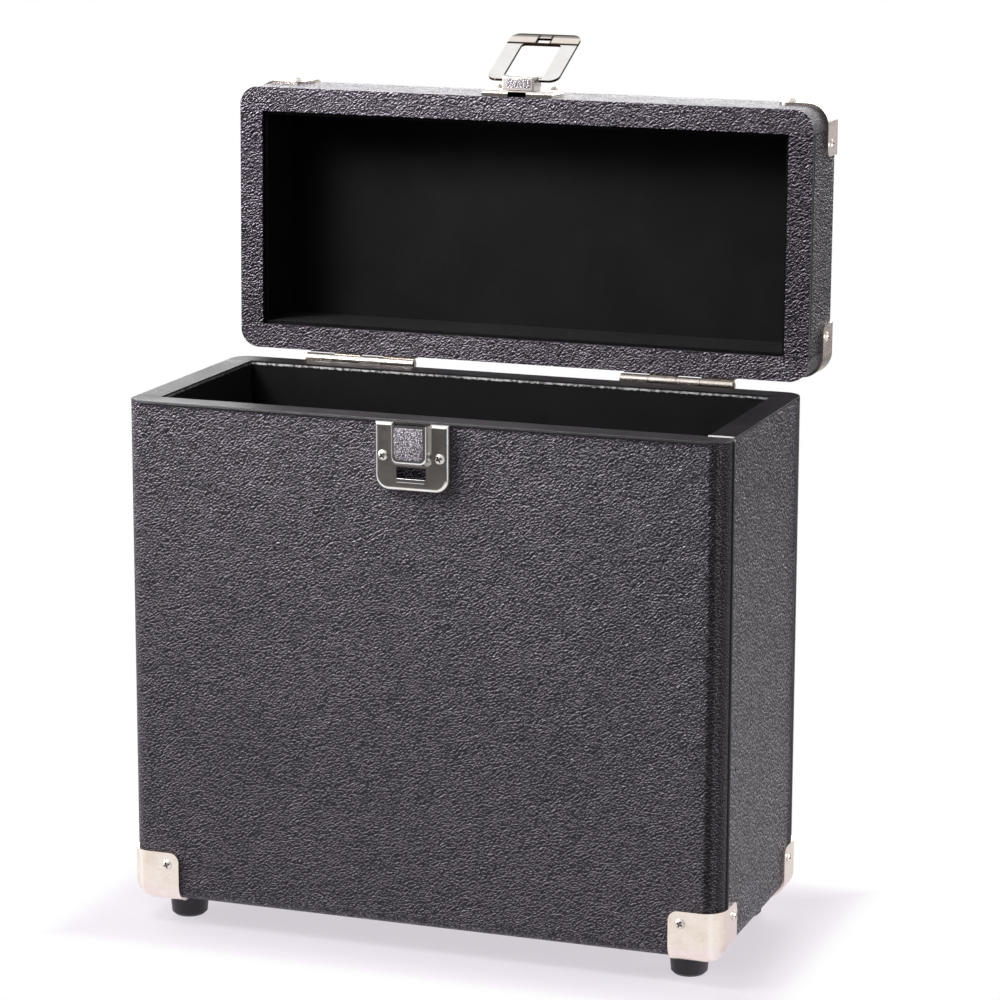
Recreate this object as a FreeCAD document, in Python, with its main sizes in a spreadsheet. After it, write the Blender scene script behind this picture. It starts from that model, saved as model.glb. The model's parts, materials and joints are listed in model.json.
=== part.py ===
import FreeCAD, Part
import math
import os
import re

import Sketcher
from FreeCAD import Placement, Rotation, Vector

# Record carrying case: a covered board box on four feet with a hinged lid that stands open.
# Origin at floor level under the middle of the box, +X to the right, +Y to the back, +Z up.
# Lid pieces are drawn in the lid's own frame, as it lies closed with the hinge axis as origin.

doc = FreeCAD.newDocument("record_case")
dims = doc.addObject("Spreadsheet::Sheet", "dims")

SIZES = [
    # box and lid
    ("case_width", 350), ("case_depth", 155), ("body_height", 290), ("lid_height", 57),
    ("lid_gap", 0.5), ("lid_open", 91),
    # walls, from outside to inside
    ("leather", 1), ("board", 12), ("flannel", 2), ("rim_strip", 1), ("lid_turn_in", 1),
    ("lid_lining_drop", 3), ("edge_round", 11), ("low_round", 10), ("seam_gap", 0.4),
    ("strip_round", 0.6),
    # corner protectors and their screws
    ("wing_leg", 29), ("wing_sheet", 1.5), ("wing_round", 5.5), ("wing_margin", 7),
    ("dome_radius", 3), ("dome_height", 1.6), ("shank_radius", 1.2), ("shank_length", 9),
    ("cross_width", 0.9), ("cross_length", 3.6), ("cross_depth", 0.9),
    # feet
    ("foot_height", 14), ("foot_low_radius", 10.2), ("foot_top_radius", 11.3), ("foot_inset", 24),
    ("foot_edge", 1.6), ("foot_recess_radius", 5), ("foot_recess_depth", 5), ("foot_screw_radius", 2),
    ("foot_screw_length", 8), ("foot_head_radius", 4), ("foot_head_height", 2.4),
    # hinges
    ("hinge_length", 67.5), ("hinge_spread", 98), ("leaf_height", 26),
    ("leaf_sheet", 1.2), ("knuckle_radius", 3.4), ("knuckle_clear", 1.1), ("knuckle_gap", 0.3),
    ("leaf_clear", 0.5),
    ("pin_radius", 1.55), ("pin_running", 0.05), ("pin_end", 0.8), ("leaf_screw_drop", 17),
    ("leaf_head_radius", 2.9), ("leaf_head_height", 1.3), ("leaf_screw_length", 8),
    # plates of the latch, alike on the body and the lid
    ("plate_width", 43), ("plate_tail", 5), ("plate_drop", 1), ("plate_proud", 4),
    ("plate_sheet", 1), ("plate_corner", 8), ("plate_edge", 2.6), ("plate_screw_side", 16.5),
    ("plate_screw_drop", 19.5), ("latch_tail", 12), ("latch_side", 2.2),
    # pressed box of the catch plate, and its window
    ("box_base_width", 24.8), ("box_face_width", 19.5), ("box_drop", 1.5), ("box_length", 23.3),
    ("box_proud", 4.2), ("box_slope", 2.2), ("box_corner", 4), ("box_edge", 1.2),
    ("window_width", 17.2), ("window_gap", 0.6), ("window_length", 6.2), ("lip_width", 16),
    ("lip_length", 2.4), ("lip_proud", 0.9),
    # block that carries the loop, and the loop
    ("notch_width", 11.3), ("block_width", 19.5), ("block_drop", 2.5), ("block_length", 14.5),
    ("block_proud", 11.9), ("block_edge", 1), ("block_slope", 1.5), ("pivot_drop", 11.2),
    ("pivot_proud", 10.1), ("loop_rod_radius", 1.2), ("rod_running", 0.08), ("loop_width", 43.5),
    ("loop_window", 24.5), ("hook_gap", 1.1), ("loop_bar", 11.2), ("loop_heel", 2.2),
    ("loop_sheet", 1.6), ("loop_corner", 5.8), ("loop_inner_corner", 2.5), ("loop_side_gap", 0.4),
    ("loop_slot_width", 8), ("loop_slot_length", 5.2), ("loop_slot_edge", 1.2), ("loop_lean", 63),
    # handle
    ("handle_clear", 2), ("handle_spread", 60), ("handle_reach", 40), ("grip_width", 17),
    ("grip_thickness", 14), ("arm_width", 13), ("grip_round", 5.5), ("bow_corner", 14),
    ("bow_inner_corner", 7), ("handle_pin_radius", 2.5), ("handle_pin_running", 0.1),
    ("bracket_width", 22), ("bracket_length", 40), ("bracket_sheet", 2), ("ear_width", 3),
    ("ear_gap", 0.6), ("ear_radius", 6), ("bracket_screw", 14), ("bracket_corner", 4),
    # cutters reach this far past what they cut
    ("over", 2),
]
for row, (name, size) in enumerate(SIZES, start=1):
    dims.set(f"A{row}", name)
    dims.set(f"B{row}", str(size))
    dims.setAlias(f"B{row}", name)
doc.recompute()

NAMES = {name for name, size in SIZES}
S = {name: float(getattr(dims, name)) for name in NAMES}

# sizes that follow from others, as text and as numbers
LINKED = {
    "hinge_offset": "(knuckle_radius + knuckle_clear)",
    "wing_screw": "(wing_leg - wing_margin)",
    "window_drop": "(box_drop + box_length + window_gap)",
    "plate_length": "(box_drop + box_length + window_gap + window_length + lip_length + plate_tail)",
    "latch_length": "(block_drop + block_length + latch_tail)",
    "loop_reach": "(lid_gap + pivot_drop + box_drop + box_length + hook_gap)",
    "handle_rise": "(grip_thickness / 2 + handle_clear)",
}
S["hinge_offset"] = S["knuckle_radius"] + S["knuckle_clear"]
S["wing_screw"] = S["wing_leg"] - S["wing_margin"]
S["window_drop"] = S["box_drop"] + S["box_length"] + S["window_gap"]
S["plate_length"] = S["window_drop"] + S["window_length"] + S["lip_length"] + S["plate_tail"]
S["latch_length"] = S["block_drop"] + S["block_length"] + S["latch_tail"]
S["loop_reach"] = S["lid_gap"] + S["pivot_drop"] + S["box_drop"] + S["box_length"] + S["hook_gap"]
S["handle_rise"] = S["grip_thickness"] / 2 + S["handle_clear"]
SLACK = 0.01
KNUCKLE_SHARES = (0.0, 0.25, 0.5, 0.71, 1.0)
LEAF_SCREW_SHARES = (-0.36, 0.0, 0.36)

# places that many pieces share
HALF_W = "case_width / 2"
HALF_D = "case_depth / 2"
TOP = "foot_height + body_height"
RIM = "(leather + board + flannel)"
SKIN = "(leather + board)"
AXIS_Y = "case_depth / 2 + hinge_offset"
AXIS_Z = "foot_height + body_height + lid_gap / 2"
LID_FRONT = "-case_depth - hinge_offset"
LID_BACK = "-hinge_offset"
LID_MID = "-case_depth / 2 - hinge_offset"
LID_LOW = "lid_gap / 2"
LID_TOP = "lid_gap / 2 + lid_height"
LID_RIM = "(leather + board + lid_turn_in)"

pieces = []


def formula(text):
    """The text with every size's name made a reference to the sheet."""
    text = re.sub(r"[a-z_]{2,}", lambda m: LINKED.get(m[0], m[0]), text)
    return re.sub(r"[a-z_]{2,}", lambda m: "dims." + m[0] if m[0] in NAMES else m[0], text)


def bind(thing, prop, text):
    thing.setExpression(prop, formula(text))


def keep(thing, label):
    """Makes an object one of the sub-parts."""
    thing.Label = label
    pieces.append(thing)
    return thing


def block(name, x, y, z):
    """A box between two places on each axis."""
    box = doc.addObject("Part::Box", name)
    for prop, axis, (low, high) in (("Length", "x", x), ("Width", "y", y), ("Height", "z", z)):
        bind(box, prop, f"({high}) - ({low})")
        bind(box, f"Placement.Base.{axis}", low)
    return box


def rod(name, x, y, z, radius):
    """A cylinder along X between two places."""
    bar = doc.addObject("Part::Cylinder", name)
    bar.Placement = Placement(Vector(0, 0, 0), Rotation(Vector(0, 1, 0), 90))
    bind(bar, "Radius", radius)
    bind(bar, "Height", f"({x[1]}) - ({x[0]})")
    for axis, text in (("x", x[0]), ("y", y), ("z", z)):
        bind(bar, f"Placement.Base.{axis}", text)
    return bar


def cut(name, base, tool):
    thing = doc.addObject("Part::Cut", name)
    thing.Base = base
    thing.Tool = tool
    return thing


def common(name, *shapes):
    thing = doc.addObject("Part::MultiCommon", name)
    thing.Shapes = list(shapes)
    return thing


def fuse(name, *shapes):
    thing = doc.addObject("Part::MultiFuse", name)
    thing.Shapes = list(shapes)
    thing.Refine = True
    return thing


def group(name, *shapes):
    thing = doc.addObject("Part::Compound", name)
    thing.Links = list(shapes)
    return thing


def hang(thing, y="0", z="0", lean="0", x="0"):
    """Seats a piece of the lid, drawn about a point of the lid's frame, on the open lid."""
    thing.Placement = Placement(Vector(0, 0, 0), Rotation(Vector(-1, 0, 0), 90))
    bind(thing, "Placement.Base.x", x)
    turn = "lid_open * 1 deg"
    bind(thing, "Placement.Rotation.Angle", f"lid_open - ({lean})")
    bind(thing, "Placement.Base.y", f"{AXIS_Y} + ({y}) * cos({turn}) + ({z}) * sin({turn})")
    bind(thing, "Placement.Base.z", f"{AXIS_Z} - ({y}) * sin({turn}) + ({z}) * cos({turn})")
    return thing


# bodies drawn with sketches

def outline(body, name, points, role="XY_Plane", level=None):
    """A closed sketch through points whose places are bound to the sheet."""
    sketch = body.newObject("Sketcher::SketchObject", name)
    plane = [f for f in body.Origin.OriginFeatures if f.Role == role][0]
    sketch.AttachmentSupport = [(plane, "")]
    sketch.MapMode = "FlatFace"
    if level:
        bind(sketch, "AttachmentOffset.Base.z", level)
    count = len(points)
    ring = [Vector(math.cos(math.tau * (k + 0.3) / count), math.sin(math.tau * (k + 0.3) / count), 0)
            for k in range(count)]
    lines = [Part.LineSegment(ring[k], ring[(k + 1) % count]) for k in range(count)]
    sketch.addGeometry(lines, False)
    for k in range(count):
        sketch.addConstraint(Sketcher.Constraint("Coincident", k, 2, (k + 1) % count, 1))
    for k, (across, along) in enumerate(points):
        for kind, text, axis in (("DistanceX", across, -2), ("DistanceY", along, -1)):
            if text == "0":
                sketch.addConstraint(Sketcher.Constraint("PointOnObject", k, 1, axis))
                continue
            place = 1.0 if kind == "DistanceX" else -1.0
            index = sketch.addConstraint(Sketcher.Constraint(kind, -1, 1, k, 1, place))
            sketch.renameConstraint(index, f"{kind}_{k}")
            bind(sketch, f"Constraints.{kind}_{k}", text)
    return sketch


def frame(x, z):
    """The four corners of a rectangle between two places each way."""
    return [(x[0], z[0]), (x[1], z[0]), (x[1], z[1]), (x[0], z[1])]


def pad(body, sketch, length, midplane=False, kind="Pad"):
    feature = body.newObject(f"PartDesign::{kind}", f"{sketch.Name}_{kind.lower()}")
    feature.Profile = sketch
    bind(feature, "Length", length)
    feature.Midplane = midplane
    doc.recompute()
    return feature


def pocket(body, sketch, length, midplane=False, reverse=False):
    before = body.Shape.Volume
    feature = body.newObject("PartDesign::Pocket", f"{sketch.Name}_pocket")
    feature.Profile = sketch
    bind(feature, "Length", length)
    feature.Midplane = midplane
    feature.Reversed = reverse
    doc.recompute()
    if feature.Shape.Volume >= before:
        raise RuntimeError(f"{sketch.Name} cuts nothing")
    return feature


def round_edges(body, feature, radius, wanted):
    """Rounds the edges of a feature that a test picks."""
    names = [f"Edge{k}" for k, edge in enumerate(feature.Shape.Edges, start=1) if wanted(edge)]
    rounding = body.newObject("PartDesign::Fillet", f"{feature.Name}_round")
    rounding.Base = (feature, names)
    bind(rounding, "Radius", radius)
    doc.recompute()
    return rounding


def along(edge, axis):
    if edge.Curve.TypeId != "Part::GeomLine":
        return False
    return abs(getattr(edge.tangentAt(edge.FirstParameter), axis)) > 0.999


def near(value, place):
    return abs(value - place) < SLACK


def form(name, x, y, z, upright, flat_round, rounded_top):
    """A box with round upright edges and one round rim, bound to the sheet."""
    body = doc.addObject("PartDesign::Body", name)
    sketch = outline(body, f"{name}_plan", frame(x, y), level=z[0])
    solid = pad(body, sketch, f"({z[1]}) - ({z[0]})")
    corners = round_edges(body, solid, upright, lambda e: along(e, "z"))
    box = solid.Shape.BoundBox
    level = box.ZMax if rounded_top else box.ZMin
    if flat_round:
        round_edges(body, corners, flat_round,
                    lambda e: near(e.BoundBox.ZMin, level) and near(e.BoundBox.ZMax, level))
    return body


# screws: the head's seat is the origin and the shank runs down

def screw(head_radius, head_height, shank_radius, shank_length, recess=True):
    crown = (head_radius ** 2 + head_height ** 2) / (2 * head_height)
    ball = Part.makeSphere(crown, Vector(0, 0, head_height - crown))
    head = ball.common(Part.makeCylinder(head_radius, head_height))
    shank = Part.makeCylinder(shank_radius, shank_length, Vector(0, 0, -shank_length))
    whole = head.fuse(shank).removeSplitter()
    if recess:
        wide, long, deep = S["cross_width"], S["cross_length"], S["cross_depth"]
        for across, along_y in ((wide, long), (long, wide)):
            corner = Vector(-across / 2, -along_y / 2, head_height - deep)
            whole = whole.cut(Part.makeBox(across, along_y, head_height, corner))
    return whole


def placed(shape, spots):
    """Copies of a shape, one at each spot, with its +Z turned along the spot's direction."""
    copies = []
    for spot, direction, spin in spots:
        copy = shape.copy()
        turn = Rotation(Vector(0, 0, 1), Vector(*direction)) * Rotation(Vector(0, 0, 1), spin)
        copy.Placement = Placement(Vector(*spot), turn)
        copies.append(copy)
    return copies


def feature(name, shapes):
    thing = doc.addObject("Part::Feature", name)
    thing.Shape = Part.makeCompound(shapes)
    return thing


def screws(label, spots, head_radius, head_height, shank_radius, shank_length):
    """The screws at some spots, and the cutter of their holes."""
    whole = screw(head_radius, head_height, shank_radius, shank_length)
    hole = Part.makeCylinder(shank_radius, shank_length, Vector(0, 0, -shank_length))
    node = keep(feature(label, placed(whole, spots)), label)
    return node, feature(f"{label}_holes", placed(hole, spots))


half_w = S["case_width"] / 2
half_d = S["case_depth"] / 2
top = S["foot_height"] + S["body_height"]
axis_y = half_d + S["hinge_offset"]
axis_z = top + S["lid_gap"] / 2
lid_front = -S["case_depth"] - S["hinge_offset"]
lid_back = -S["hinge_offset"]
lid_mid = -half_d - S["hinge_offset"]
lid_low = S["lid_gap"] / 2
lid_top = lid_low + S["lid_height"]
sheet, leg = S["wing_sheet"], S["wing_screw"]
TURNS = (20, 65, 5, 50, 35, 75, 10, 60, 40, 25, 80, 15)
SIDES = (("left", -1), ("right", 1))
ENDS = (("front", -1), ("back", 1))

# screws of the body: corner protectors and catch plate
spots = []
for k, (sx, sy) in enumerate(((-1, -1), (1, -1), (1, 1), (-1, 1))):
    level = S["foot_height"] + leg
    spots.append(((sx * (half_w - leg), sy * (half_d + sheet), level), (0, sy, 0), TURNS[k]))
    spots.append(((sx * (half_w + sheet), sy * (half_d - leg), level), (sx, 0, 0), TURNS[k + 4]))
for k, sx in enumerate((-1, 1)):
    x = sx * S["plate_screw_side"] - S["latch_side"]
    spot = (x, -half_d - S["plate_proud"], top - S["plate_screw_drop"])
    spots.append((spot, (0, -1, 0), TURNS[k + 8]))
_, body_holes = screws("body_case_screws", spots, S["dome_radius"], S["dome_height"],
                       S["shank_radius"], S["shank_length"])

# screws of the feet, with their heads up in the feet's recesses
spots = []
for k, (sx, sy) in enumerate(((-1, -1), (1, -1), (1, 1), (-1, 1))):
    spot = (sx * (half_w - S["foot_inset"]), sy * (half_d - S["foot_inset"]), S["foot_recess_depth"])
    spots.append((spot, (0, 0, -1), TURNS[k + 6]))
foot_shank = S["foot_height"] - S["foot_recess_depth"] + S["foot_screw_length"]
_, foot_holes = screws("foot_screws", spots, S["foot_head_radius"], S["foot_head_height"],
                       S["foot_screw_radius"], foot_shank)

# screws of the hinges, on the body and on the lid
spots_body, spots_lid = [], []
for name, sx in SIDES:
    for k, share in enumerate(LEAF_SCREW_SHARES):
        x = sx * S["hinge_spread"] + share * S["hinge_length"]
        back = half_d + S["leaf_sheet"]
        spots_body.append(((x, back, axis_z - S["leaf_screw_drop"]), (0, 1, 0), TURNS[k]))
        back = lid_back + S["leaf_sheet"]
        spots_lid.append(((x, back, S["leaf_screw_drop"]), (0, 1, 0), TURNS[k + 5]))
_, hinge_holes = screws("hinge_body_screws", spots_body, S["leaf_head_radius"],
                        S["leaf_head_height"], S["shank_radius"], S["leaf_screw_length"])
hinge_lid_screws, hinge_lid_holes = screws("hinge_lid_screws", spots_lid, S["leaf_head_radius"],
                                           S["leaf_head_height"], S["shank_radius"],
                                           S["leaf_screw_length"])
hang(hinge_lid_screws)

# screws of the lid: corner protectors and latch plate
spots = []
for k, (sx, sy) in enumerate(((-1, -1), (1, -1), (1, 1), (-1, 1))):
    level = lid_top - leg
    face = lid_front - sheet if sy < 0 else lid_back + sheet
    inner = lid_front + leg if sy < 0 else lid_back - leg
    spots.append(((sx * (half_w - leg), face, level), (0, sy, 0), TURNS[k]))
    spots.append(((sx * (half_w + sheet), inner, level), (sx, 0, 0), TURNS[k + 4]))
    spots.append(((sx * (half_w - leg), inner, lid_top + sheet), (0, 0, 1), TURNS[k + 8]))
for k, sx in enumerate((-1, 1)):
    x = sx * S["plate_screw_side"] - S["latch_side"]
    spot = (x, lid_front - S["plate_proud"], lid_low + S["plate_screw_drop"])
    spots.append((spot, (0, -1, 0), TURNS[k + 2]))
lid_screws, lid_holes = screws("lid_case_screws", spots, S["dome_radius"], S["dome_height"],
                               S["shank_radius"], S["shank_length"])
hang(lid_screws)

# screws of the handle's brackets
spots = []
for k, sx in enumerate((-1, 1)):
    x = sx * (S["handle_spread"] + S["arm_width"] / 2 + S["ear_gap"] + S["bracket_width"] / 2)
    for m, sy in enumerate((-1, 1)):
        spot = (x, lid_mid + sy * S["bracket_screw"], lid_top + S["bracket_sheet"])
        spots.append((spot, (0, 0, 1), TURNS[2 * k + m]))
handle_screws, handle_holes = screws("handle_screws", spots, S["leaf_head_radius"],
                                     S["leaf_head_height"], S["shank_radius"], S["leaf_screw_length"])
hang(handle_screws)

# forms of the body: outside of the covering, and outside of the boards
all_x = (f"-{HALF_W}", HALF_W)
all_y = (f"-{HALF_D}", HALF_D)
strip_low = f"{TOP} - rim_strip"
outside = form("outside", all_x, all_y, ("foot_height", strip_low), "edge_round", "low_round", False)
inside_x = (f"-{HALF_W} + leather", f"{HALF_W} - leather")
inside_y = (f"-{HALF_D} + leather", f"{HALF_D} - leather")
boards = form("boards", inside_x, inside_y, ("foot_height + leather", strip_low),
              "edge_round - leather", "low_round - leather", False)
body_drills = group("body_drills", body_holes, foot_holes, hinge_holes)

# boards of the body
floor_top = "foot_height + leather + board"
wall_z = (floor_top, strip_low)
wide_x = (f"-{HALF_W}", HALF_W)
side_y = (f"-{HALF_D} + {SKIN}", f"{HALF_D} - {SKIN}")
board_zones = {
    "body_panel_bottom": (wide_x, all_y, ("foot_height", floor_top)),
    "body_panel_front": (wide_x, (f"-{HALF_D}", f"-{HALF_D} + {SKIN}"), wall_z),
    "body_panel_back": (wide_x, (f"{HALF_D} - {SKIN}", HALF_D), wall_z),
    "body_panel_left": ((f"-{HALF_W}", f"-{HALF_W} + {SKIN}"), side_y, wall_z),
    "body_panel_right": ((f"{HALF_W} - {SKIN}", HALF_W), side_y, wall_z),
}
for label, zone in board_zones.items():
    raw = common(f"{label}_raw", boards, block(f"{label}_zone", *zone))
    keep(cut(label, raw, body_drills), label)

# covering of the body: one wrap over front, bottom and back, and a piece on each side
skin = cut("body_skin", outside, boards)
tall_z = ("0", TOP)
seam_y = (f"-{HALF_D} + {RIM}", f"{HALF_D} - {RIM}")
seam_zones, wrap_zones = [], []
for name, sx in SIDES:
    far = f"{HALF_W} + over"
    x = (f"{HALF_W} - {RIM}", far) if sx > 0 else (f"-({far})", f"-{HALF_W} + {RIM}")
    wide = (f"{x[0]} - seam_gap", x[1]) if sx > 0 else (x[0], f"{x[1]} + seam_gap")
    seam_zones.append(block(f"side_zone_{name}", x, seam_y, tall_z))
    y = (f"{seam_y[0]} - seam_gap", f"{seam_y[1]} + seam_gap")
    wrap_zones.append(block(f"wrap_zone_{name}", wide, y, tall_z))
    raw = common(f"body_cover_{name}_raw", skin, seam_zones[-1])
    keep(cut(f"body_cover_{name}", raw, body_drills), f"body_cover_{name}")
wrap = cut("body_wrap_raw", skin, group("wrap_gaps", *wrap_zones))
keep(cut("body_cover_wrap", wrap, body_drills), "body_cover_wrap")

# smooth strips along the body's rim, the front and back ones over the full width
rim_form = doc.addObject("PartDesign::Body", "rim_form")
rim_plan = outline(rim_form, "rim_plan", frame(all_x, all_y), level=strip_low)
rim_solid = pad(rim_form, rim_plan, "rim_strip")
rim_corners = round_edges(rim_form, rim_solid, "edge_round", lambda e: along(e, "z"))
rim_level = rim_solid.Shape.BoundBox.ZMax
round_edges(rim_form, rim_corners, "strip_round",
            lambda e: near(e.BoundBox.ZMin, rim_level) and near(e.BoundBox.ZMax, rim_level))
mouth_x = (f"-{HALF_W} + {RIM}", f"{HALF_W} - {RIM}")
mouth_y = (f"-{HALF_D} + {RIM}", f"{HALF_D} - {RIM}")
rim_ring = cut("rim_ring", rim_form, block("rim_mouth", mouth_x, mouth_y, ("0", f"{TOP} + over")))
short_y = (f"{mouth_y[0]} + seam_gap", f"{mouth_y[1]} - seam_gap")
strip_z = ("0", f"{TOP} + over")
strip_zones = {
    "rim_strip_front": (wide_x, (f"-{HALF_D}", mouth_y[0]), strip_z),
    "rim_strip_back": (wide_x, (mouth_y[1], HALF_D), strip_z),
    "rim_strip_left": ((f"-{HALF_W}", mouth_x[0]), short_y, strip_z),
    "rim_strip_right": ((mouth_x[1], HALF_W), short_y, strip_z),
}
for label, zone in strip_zones.items():
    keep(common(label, rim_ring, block(f"{label}_zone", *zone)), label)

# lining of the body
shell_x = (f"-{HALF_W} + {SKIN}", f"{HALF_W} - {SKIN}")
lining_floor = f"{floor_top} + flannel"
keep(block("body_lining_floor", shell_x, side_y, (floor_top, lining_floor)), "body_lining_floor")
lining = block("lining_outer", shell_x, side_y, (lining_floor, strip_low))
hollow = block("lining_inner", mouth_x, mouth_y, (floor_top, TOP))
keep(cut("body_lining_walls", lining, hollow), "body_lining_walls")


# corner protectors: a pressed sheet over three faces, each wing with its free corner rounded

def wing(name, sx, sz, x_edge, z_edge, role, length, middle):
    """A prism that leaves one wing's outline, from the object's corner to its free corner."""
    body = doc.addObject("PartDesign::Body", name)
    x = (f"{x_edge} - ({sx}) * wing_leg", f"{x_edge} + ({sx}) * over")
    z = (f"{z_edge} - ({sz}) * wing_leg", f"{z_edge} + ({sz}) * over")
    sketch = outline(body, f"{name}_face", frame(x, z), role, middle)
    solid = pad(body, sketch, length, midplane=True)
    centre = solid.Shape.BoundBox.Center
    axis, across, up = {"XZ_Plane": "yxz", "YZ_Plane": "xyz", "XY_Plane": "zxy"}[role]
    round_edges(body, solid, "wing_round", lambda e: along(e, axis)
                and (getattr(e.CenterOfMass, across) - getattr(centre, across)) * sx < 0
                and (getattr(e.CenterOfMass, up) - getattr(centre, up)) * sz < 0)
    return body


def protectors(prefix, shell, y_edges, z_edge, sz, middle_y, holes, labels):
    """The four protectors of one box, cut from its outer shell of sheet."""
    long_x, long_y, long_z = "case_width * 2", "case_depth * 2", "lid_height * 2"
    upright, cross = {}, {}
    for name, sx in SIDES:
        upright[sx] = wing(f"{prefix}_{name}_xz", sx, sz, f"({sx}) * {HALF_W}", z_edge,
                           "XZ_Plane", long_y, middle_y)
    for name, sy in ENDS:
        cross[sy] = wing(f"{prefix}_{name}_yz", sy, sz, y_edges[sy], z_edge, "YZ_Plane", long_x, None)
    made = {}
    for end, sy in ENDS:
        for side, sx in SIDES:
            flat = wing(f"{prefix}_{end}_{side}_xy", sx, sy, f"({sx}) * {HALF_W}", y_edges[sy],
                        "XY_Plane", long_z, z_edge)
            label = labels.format(end=end, side=side)
            raw = common(f"{label}_raw", shell, upright[sx], cross[sy], flat)
            made[sx, sy] = keep(cut(label, raw, holes), label)
    return made


outer_x = (f"-{HALF_W} - wing_sheet", f"{HALF_W} + wing_sheet")
outer_y = (f"-{HALF_D} - wing_sheet", f"{HALF_D} + wing_sheet")
clad = form("clad", outer_x, outer_y, ("foot_height - wing_sheet", "foot_height + wing_leg * 2"),
            "edge_round + wing_sheet", "low_round + wing_sheet", False)
body_edges = {-1: f"-{HALF_D}", 1: HALF_D}
body_corners = protectors("low", cut("clad_shell", clad, outside), body_edges, "foot_height", -1,
                          None, body_drills, "body_corner_{end}_{side}")

# feet, turned, seated under the bottom wings, with a recess for the screw's head
for end, sy in ENDS:
    for side, sx in SIDES:
        name = f"foot_{end}_{side}"
        body = doc.addObject("PartDesign::Body", f"{name}_form")
        points = [("foot_screw_radius", "foot_recess_depth"),
                  ("foot_recess_radius", "foot_recess_depth"), ("foot_recess_radius", "0"),
                  ("foot_low_radius - foot_edge", "0"), ("foot_low_radius", "foot_edge"),
                  ("foot_top_radius", "foot_height"), ("foot_screw_radius", "foot_height")]
        sketch = outline(body, f"{name}_profile", points, "XZ_Plane")
        turned = body.newObject("PartDesign::Revolution", f"{name}_turned")
        turned.Profile = sketch
        turned.ReferenceAxis = (sketch, ["V_Axis"])
        turned.Angle = 360
        bind(body, "Placement.Base.x", f"({sx}) * ({HALF_W} - foot_inset)")
        bind(body, "Placement.Base.y", f"({sy}) * ({HALF_D} - foot_inset)")
        keep(cut(name, body, body_corners[sx, sy]), name)


# hinges: knuckles 2 and 4 belong to the lid, the others to the body

def leaf(name, sx, lid):
    """One leaf with its knuckles, about the hinge axis at the origin of the lid's frame."""
    y_axis, z_axis = ("0", "0") if lid else (AXIS_Y, AXIS_Z)
    face = f"{y_axis} - hinge_offset"
    sheet_y = (face, f"{face} + leaf_sheet")
    start = f"({sx}) * hinge_spread - hinge_length / 2"
    whole_x = (start, f"{start} + hinge_length")
    if lid:
        plate_z, clear_z = (z_axis, f"{z_axis} + leaf_height"), ("-over", "knuckle_radius + leaf_clear")
    else:
        plate_z = (f"{z_axis} - leaf_height", z_axis)
        clear_z = (f"{z_axis} - knuckle_radius - leaf_clear", f"{z_axis} + over")
    plate = block(f"{name}_plate", whole_x, sheet_y, plate_z)
    knuckles, gaps = [], []
    for k in range(len(KNUCKLE_SHARES) - 1):
        low = f"{start} + {KNUCKLE_SHARES[k]} * hinge_length"
        high = f"{start} + {KNUCKLE_SHARES[k + 1]} * hinge_length"
        if (k % 2 == 1) == lid:
            low = f"{low} + knuckle_gap / 2" if k else low
            high = f"{high} - knuckle_gap / 2" if k < len(KNUCKLE_SHARES) - 2 else high
            knuckles.append(rod(f"{name}_knuckle_{k}", (low, high), y_axis, z_axis, "knuckle_radius"))
        else:
            low = f"{low} - knuckle_gap / 2" if k else f"{low} - over"
            high = f"{high} + knuckle_gap / 2" if k < len(KNUCKLE_SHARES) - 2 else f"{high} + over"
            y_wide = (f"{face} - over", f"{y_axis} + knuckle_radius + over")
            gaps.append(block(f"{name}_gap_{k}", (low, high), y_wide, clear_z))
    solid = fuse(f"{name}_solid", cut(f"{name}_cleared", plate, group(f"{name}_gaps", *gaps)), *knuckles)
    bore_x = (f"{whole_x[0]} - over", f"{whole_x[1]} + over")
    bore = rod(f"{name}_bore", bore_x, y_axis, z_axis, "pin_radius + pin_running" if lid else "pin_radius")
    holes = hinge_lid_holes if lid else hinge_holes
    node = keep(cut(name, solid, group(f"{name}_cuts", bore, holes)), name)
    return hang(node) if lid else node


pins = []
for side, sx in SIDES:
    leaf(f"hinge_{side}_body_leaf", sx, False)
    leaf(f"hinge_{side}_lid_leaf", sx, True)
    start = f"({sx}) * hinge_spread - hinge_length / 2"
    ends = (f"{start} - pin_end", f"{start} + hinge_length + pin_end")
    pins.append(rod(f"hinge_pin_{side}", ends, AXIS_Y, AXIS_Z, "pin_radius"))
keep(group("hinge_pins", *pins), "hinge_pins")


# latch plates: a shallow tray of sheet, open to the wall, with rolled edges

def tray(name, level, rim, away, rim_z, length, inset="0"):
    """A plate on a front wall at a level, from its end at the rim to its far, round end."""
    body = doc.addObject("PartDesign::Body", name)
    bind(body, "Placement.Base.x", "-latch_side")
    x = (f"-plate_width / 2 + {inset}", f"plate_width / 2 - {inset}")
    near_end = f"{rim} + ({away}) * (plate_drop + {inset})"
    far_end = f"{rim} + ({away}) * ({length} - {inset})"
    sketch = outline(body, f"{name}_face", frame(x, (near_end, far_end)), "XZ_Plane", level)
    solid = pad(body, sketch, f"plate_proud - {inset}")
    front = solid.Shape.BoundBox.YMin
    far = rim_z + away * (S[length] - S.get(inset, 0))
    corners = round_edges(body, solid, f"plate_corner - {inset}",
                          lambda e: along(e, "y") and near(e.CenterOfMass.z, far))
    round_edges(body, corners, f"plate_edge - {inset}",
                lambda e: near(e.BoundBox.YMin, front) and near(e.BoundBox.YMax, front))
    return body


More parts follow.
